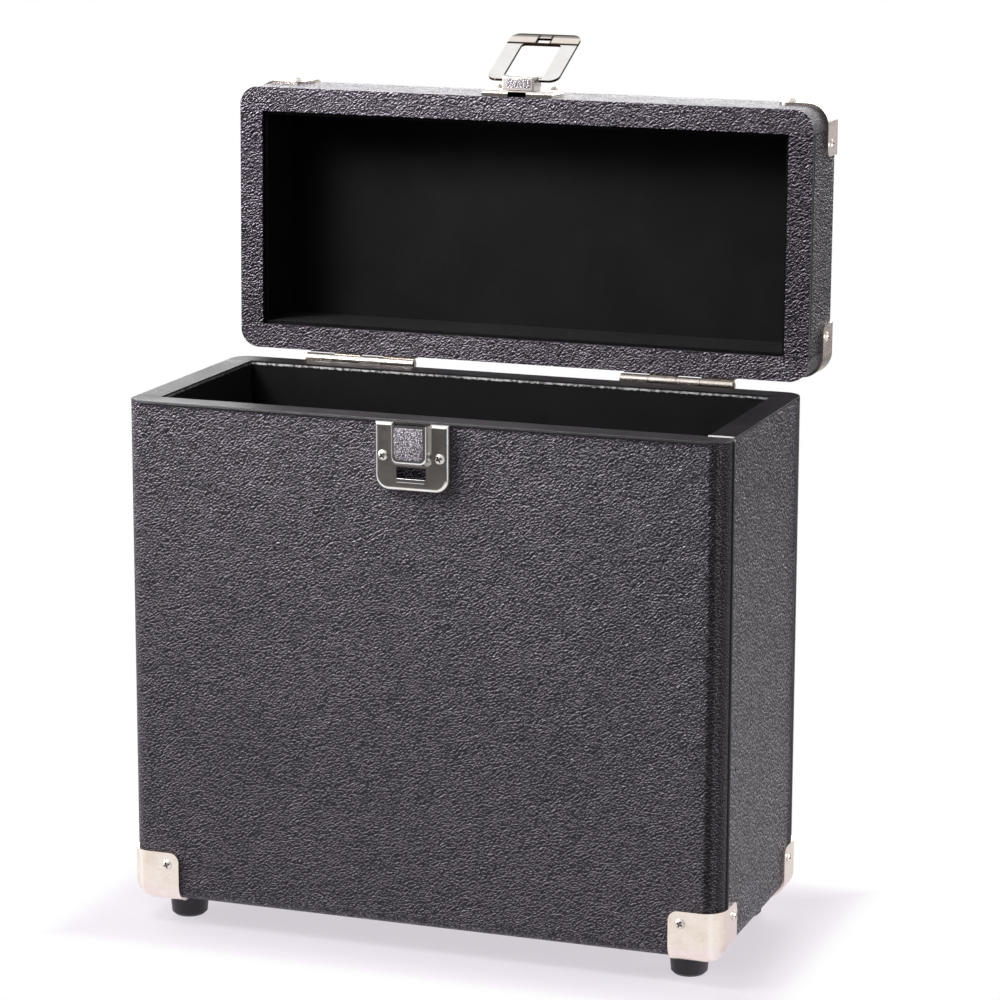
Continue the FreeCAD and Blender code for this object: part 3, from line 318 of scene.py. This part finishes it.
def plated(name, bright, dull, rough, recess=None, bent=False):
    """Nickel plate: faint cloudy tarnish, hair scratches and a slightly uneven pressing.

    recess holds the arguments of open_share, for a plate with painted shade in its recesses and gaps.
    bent is for a plate with a painted highlight along its rounded corner and painted shade on its sides.
    """
    t = Surface(name)
    where = t.place()
    cloud = t.cloud(where, 90.0)
    dirt = tarnish(t, cloud, where, 700.0)
    hairs = t.vector("MULTIPLY", t.turned(where, (0.4, 0.9, 0.3)), (60.0, 60.0, 900.0))
    scratch = t.ramp(t.cells(hairs, feature="DISTANCE_TO_EDGE"), 0.0, 0.02, 1.0, 0.0)
    height = t.math("SUBTRACT", t.math("MULTIPLY", cloud, 1.2), t.math("MULTIPLY", scratch, 0.05))
    colour = t.mix(t.ramp(dirt, 0.35, 0.75), tone(bright), tone(dull))
    # Painted shade: black in the plate's recesses and in the gaps between its parts
    if recess:
        colour = t.mix(t.open_share(*recess), PAINTED_SHADE_BLACK, colour)
    # A painted highlight along the rounded corner and painted shade on the sides
    if bent:
        sideways = t.math("ABSOLUTE", t.axes(t.facing())[0])
        painted_side_shade = t.mix(t.ramp(sideways, 0.7, 0.98), colour, WING_SHADE)
        colour = t.mix(t.band(sideways, 0.28, 0.45, 0.5, 0.66), painted_side_shade, CREST_HIGHLIGHT)
    return t.finish(Base_Color=colour,
                    Metallic=1.0,
                    Roughness=t.math("ADD", t.ramp(dirt, 0.3, 0.8, rough, rough + 0.1),
                                     t.math("MULTIPLY", scratch, 0.08)),
                    Normal=t.bump(height, NICKEL_WAVE))


def rolled(name, bright, dull):
    """The loop's bright plate. Its far bar is rolled: it turns away towards both edges. Its colour holds
    painted reflections: warm on the bar, dark on its rims, in two bands across it and on bent edges.
    """
    t = Surface(name)
    where = t.place()
    cloud = t.cloud(where, 110.0)
    dirt = tarnish(t, cloud, where, 800.0)
    reach = t.vector("DOT_PRODUCT", t.vector("SUBTRACT", where, LOOP_PIVOT), LOOP_WAY, "Value")
    across = t.math("MULTIPLY", t.math("SUBTRACT", reach, LOOP_BAR_MIDDLE), 1.0 / LOOP_BAR_HALF)
    on_bar = t.ramp(across, -1.0, -0.95)
    from_middle = t.math("ABSOLUTE", across)
    roll = t.math("MINIMUM", t.math("SUBTRACT", t.math("MULTIPLY", across, across), 1.0), 0.0)
    # Painted dark reflections on the bar's rims, in two bands across the bar and on the plate's bent edges
    rim = t.band(from_middle, 0.62, 0.85, 1.05, 1.15)
    sheet = t.vector("CROSS_PRODUCT", LOOP_WAY, (1.0, 0.0, 0.0))
    flat = t.math("ABSOLUTE", t.vector("DOT_PRODUCT", t.facing(), sheet, "Value"))
    edge = t.ramp(flat, 0.8, 0.97, 1.0, 0.0)
    beside = t.math("ABSOLUTE", t.math("SUBTRACT", t.axes(where)[0], LATCH_X))
    painted_dark_bands = t.math("MULTIPLY", t.band(beside, 0.0032, 0.0036, 0.0046, 0.0051),
                  t.ramp(from_middle, 0.7, 0.95, 1.0, 0.0))
    painted_dark_reflection = t.math("MAXIMUM", t.math("MAXIMUM", edge, rim), painted_dark_bands)
    plate = t.mix(t.ramp(dirt, 0.35, 0.75), tone(bright), tone(dull))
    # Painted reflection: a warm tint on the bar
    plate = t.mix(t.math("MULTIPLY", on_bar, 0.4), plate, BAR_REFLECTION_TINT)
    return t.finish(Base_Color=t.mix(painted_dark_reflection, plate, EDGE_REFLECTION_DARK),
                    Metallic=1.0,
                    Roughness=t.ramp(dirt, 0.3, 0.8, 0.1, 0.2),
                    Normal=t.bump(t.math("MULTIPLY", roll, -1.0), LOOP_BAR_HALF * 0.3,
                                  Normal=t.bump(cloud, NICKEL_WAVE)))


def pressed(name, bright, dull, dark_reflection_low, dark_reflection_high):
    """Pressed latch metal: polished where it is bent, satin on the flat plate that faces the front, with a
    painted dark reflection on that plate.
    """
    t = Surface(name)
    where = t.place()
    to_front = t.math("MULTIPLY", t.axes(t.facing())[1], -1.0)
    on_plate = t.math("GREATER_THAN", t.axes(where)[1], CATCH_PLATE_Y)
    satin = t.math("MULTIPLY", t.ramp(to_front, 0.97, 0.995), on_plate)
    cloud = t.cloud(where, 120.0)
    brush = t.cloud(t.vector("MULTIPLY", where, (9.0, 1.0, 0.6)), 700.0)
    polished = t.mix(t.ramp(cloud, 0.35, 0.7), tone(bright), tone(dull))
    # Painted dark reflection: the flat front plate is coloured darker than the polished metal
    plate = t.mix(t.ramp(brush, *SPREAD), tone(dark_reflection_low), tone(dark_reflection_high))
    return t.finish(Base_Color=t.mix(satin, polished, plate),
                    Metallic=1.0,
                    Roughness=t.math("ADD", t.math("MULTIPLY", satin, 0.24),
                                     t.ramp(cloud, 0.3, 0.8, 0.1, 0.17)),
                    Normal=t.bump(t.math("ADD", cloud, t.math("MULTIPLY", brush, 0.2)), NICKEL_WAVE))


def frosted(name, bright, dull):
    """Blasted nickel: a fine sparkling grain."""
    t = Surface(name)
    where = t.place()
    grain = t.math("ADD", t.math("MULTIPLY", t.cells(where, 1300.0), 0.8),
                   t.math("MULTIPLY", t.noise(where, 1900.0, rough=0.7), 0.6))
    return t.finish(Base_Color=t.mix(t.ramp(grain, 0.45, 0.8), tone(bright), tone(dull)),
                    Metallic=1.0,
                    Roughness=t.ramp(grain, 0.3, 0.95, 0.34, 0.6),
                    Normal=t.bump(grain, distance=0.0005))


def rubber(name, dark, light):
    """Moulded rubber with dusty bloom and a fine spark texture."""
    t = Surface(name)
    where = t.place()
    bloom = t.cloud(where, 110.0)
    return t.finish(Base_Color=t.mix(t.ramp(bloom, 0.35, 0.7), tone(dark), tone(light)),
                    Roughness=t.ramp(bloom, *SPREAD, 0.42, 0.58),
                    Normal=t.bump(t.cloud(where, 2200.0), distance=0.00012, strength=0.7),
                    Specular_IOR_Level=0.45)


def fibrous(name, dark, light, stretch, scale, detail, rough):
    """Loose threads or fibres: the pale line at the strip's cut, or pressed wood fibre."""
    t = Surface(name)
    threads = t.noise(t.vector("MULTIPLY", t.place(), stretch), scale, detail, rough=0.7)
    return t.finish(Base_Color=t.mix(t.ramp(threads, *SPREAD), tone(dark), tone(light)),
                    Roughness=t.ramp(threads, *SPREAD, *rough),
                    Normal=t.bump(threads, distance=0.0002, strength=0.6))


def moulded(name, dark, light):
    """Moulded handle plastic with an embossed leather grain."""
    t = Surface(name)
    where = t.place()
    pebbles = t.ramp(t.cells(t.warped(where, 160.0, 0.003), 520.0, "DISTANCE_TO_EDGE"), 0.0, 0.2)
    return t.finish(Base_Color=t.mix(t.ramp(t.cloud(where, 30.0), *SPREAD), tone(dark), tone(light)),
                    Roughness=t.ramp(pebbles, 0.0, 1.0, 0.5, 0.36),
                    Normal=t.bump(pebbles, distance=0.00022, strength=0.7))


# The dark and light tones are painted shade and painted highlight on the grain; the middle one is the cloth's
# own colour
FRONT_CLOTH = {"angles": (0.0, GRAIN_SLANT, 0.0), "cell": (0.0024, 0.0016, 0.0016),
               "cloth_and_painted_light_tones": ("08060a", "2a252d", "aea3b1"), "depth": 0.00105}
materials = {
    "leatherette": leatherette("leatherette_front", **FRONT_CLOTH, gloss=(0.3, 0.6), bent=0.6),
    "leatherette_wrap": leatherette("leatherette_wrap", **FRONT_CLOTH, gloss=(0.2, 0.6)),
    "leatherette_side": leatherette("leatherette_side", angles=(-GRAIN_SLANT, 0.0, math.radians(-90)),
                                    cell=(0.0030, 0.0023, 0.0023), cloth_and_painted_light_tones=("020102", "28222b", "cfc5d2"),
                                    depth=0.0026, gloss=(0.08, 0.95)),
    "leatherette_lid": leatherette("leatherette_lid", angles=(0.0, GRAIN_SLANT, 0.0),
                                   cell=(0.0024, 0.0042, 0.0016), cloth_and_painted_light_tones=("050406", "27222a", "a99eac"),
                                   depth=0.0012, gloss=(0.05, 0.45), bent=0.35),
    "rim": smooth_leatherette("rim_leatherette", "1e1b1f", "2f2b30", shine=0.65),
    # A darker, less shiny copy of the rim cloth for the right and back strips: painted shade
    "rim_shaded": smooth_leatherette("rim_shaded_leatherette", "121013", "1c191d", shine=0.22),
    # Pale cloth for lines on the covering's folded edges: painted highlight
    "fold_highlight": smooth_leatherette("fold_highlight_leatherette", "57525a", "8a848d"),
    "flannel": flannel("black_flannel", "060606", "121213"),
    # A lighter copy of the lining flannel for the lid's walls: painted light
    "lid_flannel_lit": flannel("lid_wall_flannel_lit", "0c0c0c", "1a1a1b", shine=0.06, sheen=0.02),
    "wall_flannel": flannel("wall_flannel", "060606", "111112", cut_edge=LINING_TOP),
    "rubber": rubber("foot_rubber", "242227", "38363c"),
    # Black for lines in seams and gaps: painted shade
    "groove_shade": rubber("groove_shade_black", "030303", "070708"),
    "nickel": plated("nickel_plate", "fdf3ea", "f4e4d6", rough=0.2, bent=True),
    "latch": plated("latch_nickel", "fff8f0", "e0d5ca", rough=0.12),
    "block": plated("block_nickel", "bfbab8", "b2aca8", rough=0.4),
    # The hinge and the screws get painted shade in their recesses and gaps
    "hinge": plated("hinge_nickel", "e4dad2", "b5a99f", rough=0.22, recess=(0.003,)),
    "bracket": plated("bracket_nickel", "e4dcd4", "b9afa6", rough=0.2),
    "steel": plated("screw_steel", "fff8f0", "e6dcd2", rough=0.3, recess=(0.003, 0.6, 0.95)),
    "catch": pressed("catch_nickel", "ffffff", "f6efe8", "918a86", "a8a19b"),
    "loop": rolled("loop_nickel", "ffffff", "f6efea"),
    "frosted": frosted("frosted_nickel", "d2cbd3", "625d65"),
    "frosted_block": frosted("frosted_block", "c2bbc0", "6a6569"),
    "pale_cut": fibrous("pale_cut_edge", "dcd8d6", "faf7f5", stretch=(1.0, 1.0, 1.0), scale=1400.0, detail=3.0,
                    rough=(0.7, 0.9)),
    "board": fibrous("fibreboard", "6b5238", "8d7350", stretch=(1.0, 1.0, 3.0), scale=900.0, detail=4.0,
                     rough=(0.8, 0.95)),
    "plastic": moulded("handle_plastic", "121214", "1e1d20"),
}

# The first row whose words stand in a node's name gives its material
FINISHES = (
    ("_panel_", "board"),
    ("body_lining_walls", "wall_flannel"),
    ("lid_lining_walls", "lid_flannel_lit"),
    ("lining", "flannel"),
    # The right and back rim strips take the darker copy: painted shade
    ("rim_strip_right", "rim_shaded"),
    ("rim_strip_back", "rim_shaded"),
    ("rim_strip", "rim"),
    ("lid_cover_wrap", "leatherette_wrap"),
    ("lid_cover", "leatherette_lid"),
    ("body_cover_wrap", "leatherette"),
    ("body_cover", "leatherette_side"),
    ("screws", "steel"),
    ("foot_", "rubber"),
    ("_corner_", "nickel"),
    ("hinge_", "hinge"),
    ("handle_bracket", "bracket"),
    ("handle_grip", "plastic"),
    ("latch_loop", "loop"),
    ("latch_block", "block"),
    ("latch_base", "latch"),
    ("catch_plate", "catch"),
)


def finish_of(node):
    """The material of one CAD node, by its name."""
    return materials[next(finish for words, finish in FINISHES if words in node)]


for name, thing in nodes.items():
    for place in thing.material_slots:
        place.material = finish_of(name)


# Pieces modelled here

RIGHT, BACK, UP = Vector((1, 0, 0)), Vector((0, 1, 0)), Vector((0, 0, 1))


def on_lid(x, y, z):
    """A point of the open lid, from its place on the shut one, measured from the hinge axis."""
    return HINGE_AXIS + Vector((x, y * math.cos(LID_ANGLE) + z * math.sin(LID_ANGLE),
                                -y * math.sin(LID_ANGLE) + z * math.cos(LID_ANGLE)))


def smoothed(data, degrees):
    """Smooth shading, but for the edges that turn by more than this."""
    data.polygons.foreach_set("use_smooth", [True] * len(data.polygons))
    data.set_sharp_from_angle(angle=math.radians(degrees))


def detailed(node, edge, segments=2, shape=None):
    """A copy of a CAD node with softened edges, and with its own small shape changes, that stands for it."""
    same_place, flat_angle = 0.000002, math.radians(0.6)
    source = nodes[node]
    bm = bmesh.new()
    bm.from_mesh(source.data)
    bmesh.ops.remove_doubles(bm, verts=bm.verts, dist=same_place)
    bmesh.ops.dissolve_limit(bm, angle_limit=flat_angle, verts=bm.verts, edges=bm.edges)
    if shape:
        for vert in bm.verts:
            vert.co = shape(vert.co)
    data = bpy.data.meshes.new(f"{node}_detailed")
    bm.to_mesh(data)
    bm.free()
    data.materials.append(finish_of(node))
    smoothed(data, 32)
    thing = bpy.data.objects.new(f"{node}_detailed", data)
    scene.collection.objects.link(thing)
    bevel = thing.modifiers.new("softened", "BEVEL")
    bevel.width = edge
    bevel.segments = segments
    bevel.limit_method = "ANGLE"
    bevel.angle_limit = math.radians(40)
    bevel.harden_normals = True
    body = source["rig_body"]
    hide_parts(node)
    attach(thing, body)


def tucked(place):
    """The covering is pinched in along the seams of the box's sides."""
    pinch, reach, near_side = 0.0008, 0.0007, CASE_HALF_X - 0.00005
    if abs(place.x) > near_side and abs(abs(place.y) - SEAM_Y) < reach:
        place.x -= math.copysign(pinch, place.x)
    return place


detailed("body_cover_wrap", 0.0006, shape=tucked)
for name in ("body_cover_left", "body_cover_right", "lid_cover_wrap", "lid_cover_left", "lid_cover_right"):
    detailed(name, 0.0004)
detailed("latch_loop", 0.0007, segments=4)
for name in ("latch_base", "latch_block"):
    detailed(name, 0.0003)


def add_piece(name, data, finish, body):
    """An object with a material, which rides on a body."""
    thing = bpy.data.objects.new(name, data)
    scene.collection.objects.link(thing)
    data.materials.append(materials[finish])
    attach(thing, body)


def line(name, points, radius, finish, body):
    """A thin round line through points: painted shade in a groove or a seam, a painted highlight on a fold, a
    lip, or a pale line at a cut.
    """
    data = bpy.data.curves.new(name, "CURVE")
    data.dimensions = "3D"
    data.bevel_depth = radius
    data.bevel_resolution = 3
    data.use_fill_caps = True
    spline = data.splines.new("POLY")
    spline.points.add(len(points) - 1)
    for point, place in zip(spline.points, points):
        point.co = (*place, 1.0)
    add_piece(name, data, finish, body)


def panel(name, centre, along, size, corners, thick, finish, body):
    """A thin plate across the case, its corners (low left, low right, top right, top left) rounded."""
    width, length = size
    out = RIGHT.cross(along)
    corner_steps, sunk = 6, 0.0002
    points = []
    for r, (sx, sy), start in zip(corners, ((-1, -1), (1, -1), (1, 1), (-1, 1)), (180, 270, 0, 90)):
        for step in range(corner_steps + 1):
            a = math.radians(start) + math.radians(90) * step / corner_steps
            points.append((sx * (width / 2 - r) + r * math.cos(a), sy * (length / 2 - r) + r * math.sin(a)))
    bm = bmesh.new()
    rings = []
    for inset, level in ((0.0, -sunk), (0.0, thick * 0.4), (thick * 0.3, thick * 0.85), (thick * 0.8, thick)):
        rings.append([bm.verts.new(centre + RIGHT * (x - math.copysign(inset, x))
                                   + along * (y - math.copysign(inset, y)) + out * level)
                      for x, y in points])
    for low, high in zip(rings, rings[1:]):
        for k in range(len(low)):
            j = (k + 1) % len(low)
            bm.faces.new((low[k], low[j], high[j], high[k]))
    bm.faces.new(rings[-1])
    bm.faces.new(list(reversed(rings[0])))
    data = bpy.data.meshes.new(name)
    bm.to_mesh(data)
    bm.free()
    smoothed(data, 40)
    add_piece(name, data, finish, body)


# The right strip's cloth is cut at the front corner, and a pale line runs along the cut there and down the
# side, with a pale patch beside it on the strip's top
STRIP_CUT = [(0.1602, -0.0626, 0.30354), (0.1700, -0.0626, 0.30354), (0.1735, -0.0627, 0.3035),
             (0.1748, -0.0630, 0.3028), (0.1752, -0.0632, 0.3008)]
STRIP_GAP = [(-0.1655, -0.0776, 0.3028), (0.1640, -0.0776, 0.3028)]
SEAM_X, SEAM_LINE_Y, SHEET_EDGE_Y = 0.1746, 0.0634, 0.0621
LID_FOLD_X, LID_FOLD_Z, LID_FOLD_ENDS = 0.1749, 0.0029, (-0.0180, -0.1440)
LID_SEAM_Z, LID_SEAM_ENDS = 0.0041, (-0.0170, -0.1450)
SLOT_LIP_HALF, SLOT_LIP_Y, SLOT_LIP_Z = 0.0078, -0.0816, 0.2718
FOLD_RADIUS, GROOVE_RADIUS, LIP_RADIUS, SEAM_RADIUS = 0.0003, 0.0006, 0.0008, 0.0013
STRIP_END = Vector((0.1672, -0.0614, 0.3040))
CATCH_BOX_FACE = Vector((LATCH_X, -0.0857, 0.2921))
BLOCK_END = on_lid(LATCH_X + 0.0006, LID_FRONT_Y - 0.0078, 0.00275)
LID_FORWARD = on_lid(0, -1, 0) - HINGE_AXIS
FROST_THICK = 0.00015

line("strip_cut_edge", STRIP_CUT, LIP_RADIUS, "pale_cut", "body")
# A black line in the gap between the strip and the front wrap: painted shade
line("strip_gap", STRIP_GAP, GROOVE_RADIUS, "groove_shade", "body")
# The black seam lines are painted shade in the seams; the pale lines on the sheet edges and the lid's folds
# are painted highlights
for side, x in (("left", -1), ("right", 1)):
    for end, y in (("front", -1), ("back", 1)):
        seam = [(x * SEAM_X, y * SEAM_LINE_Y, z) for z in (SEAM_TOP, SEAM_FOOT)]
        line(f"seam_{end}_{side}", seam, SEAM_RADIUS, "groove_shade", "body")
        sheet_edge = [(x * CASE_HALF_X, y * SHEET_EDGE_Y, z) for z in (SEAM_TOP, SEAM_FOOT)]
        line(f"sheet_edge_{end}_{side}", sheet_edge, FOLD_RADIUS, "fold_highlight", "body")
    line(f"lid_fold_{side}", [on_lid(x * LID_FOLD_X, y, LID_FOLD_Z) for y in LID_FOLD_ENDS],
         FOLD_RADIUS, "fold_highlight", "lid")
    line(f"lid_seam_{side}", [on_lid(x * CASE_HALF_X, y, LID_SEAM_Z) for y in LID_SEAM_ENDS],
         GROOVE_RADIUS, "groove_shade", "lid")
line("catch_slot_lip", [(LATCH_X + x, SLOT_LIP_Y, SLOT_LIP_Z) for x in (-SLOT_LIP_HALF, SLOT_LIP_HALF)],
     LIP_RADIUS, "latch", "body")
panel("strip_cut_face", STRIP_END, BACK, size=(0.0144, 0.0026), corners=(0.0004,) * 4, thick=0.0003,
      finish="pale_cut", body="body")
panel("catch_frosted_inset", CATCH_BOX_FACE, UP, size=(0.0168, 0.0176),
      corners=(0.0032, 0.0032, 0.0008, 0.0008), thick=FROST_THICK, finish="frosted", body="body")
panel("block_frosted_end", BLOCK_END, LID_FORWARD, size=(0.0142, 0.0052),
      corners=(0.0008, 0.0008, 0.0012, 0.0012), thick=FROST_THICK, finish="frosted_block", body="lid")


# The floor, the lamps and the world

WHITE = (1.0, 1.0, 1.0, 1.0)
FLOOR_HALF = 4
SHADE_WIDTH = 0.048                           # how far the object's shade reaches on the floor
SHADE_WHITE = 0.64                            # how much of the floor is plain white in that shade


def lit_floor():
    """A pale floor with the object's soft shadow, that fades to plain white away from the object.

    Metal and satin cloth see a floor that is bright near the case and far to both sides of it.
    """
    t = Surface("pale_floor")
    x, y, _ = t.axes(t.place())
    pale = t.mix(t.ramp(t.noise(t.place(), 40.0, detail=3.0), *SPREAD), (0.89, 0.865, 0.915, 1.0),
                 (0.91, 0.885, 0.935, 1.0))
    far = t.vector("LENGTH", t.place(), output="Value")
    t.finish(Base_Color=t.mix(t.ramp(far, 0.45, 1.3), pale, (0.10, 0.10, 0.10, 1.0)), Roughness=0.6)
    beside = t.math("SUBTRACT", t.math("ABSOLUTE", x), CASE_HALF_X)
    before = t.math("SUBTRACT", t.math("ABSOLUTE", y), CASE_HALF_Y)
    whiteness = t.ramp(t.math("MAXIMUM", beside, before), 0.0, SHADE_WIDTH, SHADE_WHITE, 1.0)
    colour = t.mix(t.ramp(whiteness, 0.85, 1.0), tone("fcf6fe"), WHITE)
    white = t.add("ShaderNodeEmission", Color=colour, Strength=1.0)
    near = t.math("MULTIPLY", t.ramp(far, 0.35, 1.2, 1.0, 0.0), t.ramp(y, -0.25, 0.15, 0.8, 0.9))
    wings = t.math("MULTIPLY", t.ramp(t.math("ABSOLUTE", x), 0.75, 1.05), t.ramp(y, -0.8, -0.4, 0.0, 0.9))
    rays = t.add("ShaderNodeLightPath").outputs
    seen = t.math("ADD", t.math("MULTIPLY", whiteness, rays["Is Camera Ray"]),
                  t.math("MULTIPLY", t.math("MAXIMUM", near, wings), rays["Is Glossy Ray"]))
    mixed = t.add("ShaderNodeMixShader", i0=seen, i1=t.shader.outputs[0], i2=white.outputs[0])
    t.put(t.out, "Surface", mixed.outputs[0])
    return t.mat


mesh = bpy.data.meshes.new("floor")
mesh.from_pydata([(x * FLOOR_HALF, y * FLOOR_HALF, 0) for x, y in ((-1, -1), (1, -1), (1, 1), (-1, 1))], [],
                 [(0, 1, 2, 3)])
floor = bpy.data.objects.new("floor", mesh)
scene.collection.objects.link(floor)
mesh.materials.append(lit_floor())


def lamp(name, place, aim, size, energy):
    data = bpy.data.lights.new(name, "AREA")
    data.shape = "RECTANGLE"
    data.size, data.size_y = size
    data.energy = energy
    thing = bpy.data.objects.new(name, data)
    scene.collection.objects.link(thing)
    thing.location = place
    thing.rotation_euler = (Vector(aim) - Vector(place)).to_track_quat("-Z", "Y").to_euler()
    return thing


lamp("left", place=(-1.3, -0.42, 0.6), aim=(0, 0, 0.25), size=(0.25, 0.45), energy=7.2)
lamp("near_lid", place=(-0.35, -0.25, 0.72), aim=(0, 0, 0.35), size=(0.3, 0.3), energy=2.5)
lid_light = lamp("lid_light", place=(-0.42, -0.26, 0.74), aim=(-0.04, 0.03, 0.46), size=(0.2, 0.2),
                 energy=0.8)
lid_light.data.spread = math.radians(60)
lamp("right_side", place=(1.5, 0.5, 0.25), aim=(0, 0, 0.06), size=(0.5, 0.5), energy=9.5)
lamp("right_strip", place=(1.35, -0.85, 0.45), aim=(0.1, 0, 0.2), size=(0.12, 0.9), energy=1)
behind = lamp("behind", place=(-0.4, 2.4, 0.85), aim=(0, 0, 0.35), size=(2.6, 0.9), energy=34)
behind.visible_diffuse = False

# The world is white to the camera. Metal sees it dim in front, and brighter behind, overhead and far to
# the left. The rest of the scene gets a weak even light from it
AMBIENT = 0.1
world = bpy.data.worlds.new("studio")
scene.world = world
world.use_nodes = True
w = Tree(world.node_tree)
backdrop = w.nodes["Background"]
way_x, way_y, way_z = w.axes(w.add("ShaderNodeTexCoord").outputs["Generated"])
to_back = w.ramp(way_y, -0.75, -0.2, 0.08, 0.45, smooth=False)
overhead = w.ramp(way_z, 0.3, 0.6, 0.0, 0.9, smooth=False)
to_left = w.ramp(way_x, -0.95, -0.7, 0.9, 0.0, smooth=False)
room = w.math("MAXIMUM", w.math("MAXIMUM", to_back, to_left), overhead)
rays = w.add("ShaderNodeLightPath").outputs
shown = w.math("MAXIMUM", w.math("MULTIPLY", rays["Is Glossy Ray"], room), rays["Is Camera Ray"])
looked_at = w.math("MAXIMUM", rays["Is Glossy Ray"], rays["Is Camera Ray"])
ambient = w.add("ShaderNodeMath", {"operation": "MULTIPLY_ADD"}, i0=looked_at, i1=-AMBIENT, i2=AMBIENT)
w.put(backdrop, "Color", WHITE)
w.put(backdrop, "Strength", w.math("ADD", shown, ambient.outputs[0]))


# The camera, at the photograph's viewing angle

AZIMUTH, ELEVATION, ROLL = (math.radians(a) for a in (18.387, 11.7602, 0.4631))
DISTANCE, TARGET = 2.0275005, Vector((0.0788502, 0.0, 0.2674725))
PICTURE_PX, FOCAL_PX, CENTRE_PX = 1000.0, 3636.0599, (600.0, 470.0)
SENSOR_MM = 36.0
away = Vector((math.sin(AZIMUTH) * math.cos(ELEVATION), -math.cos(AZIMUTH) * math.cos(ELEVATION),
               math.sin(ELEVATION)))
level_right = Vector((math.cos(AZIMUTH), math.sin(AZIMUTH), 0.0))
level_up = away.cross(level_right)
right = math.cos(ROLL) * level_right + math.sin(ROLL) * level_up
up = math.cos(ROLL) * level_up - math.sin(ROLL) * level_right
camera = bpy.data.objects.new("camera", bpy.data.cameras.new("camera"))
scene.collection.objects.link(camera)
camera.matrix_world = (Matrix.Translation(TARGET + away * DISTANCE)
                       @ Matrix((right, up, away)).transposed().to_4x4())
camera.data.sensor_width = SENSOR_MM
camera.data.lens = FOCAL_PX / PICTURE_PX * SENSOR_MM
camera.data.shift_x = (PICTURE_PX / 2 - CENTRE_PX[0]) / PICTURE_PX
camera.data.shift_y = (CENTRE_PX[1] - PICTURE_PX / 2) / PICTURE_PX
camera.data.clip_start, camera.data.clip_end = 0.1, 20.0
scene.camera = camera
scene.view_settings.view_transform = "Standard"
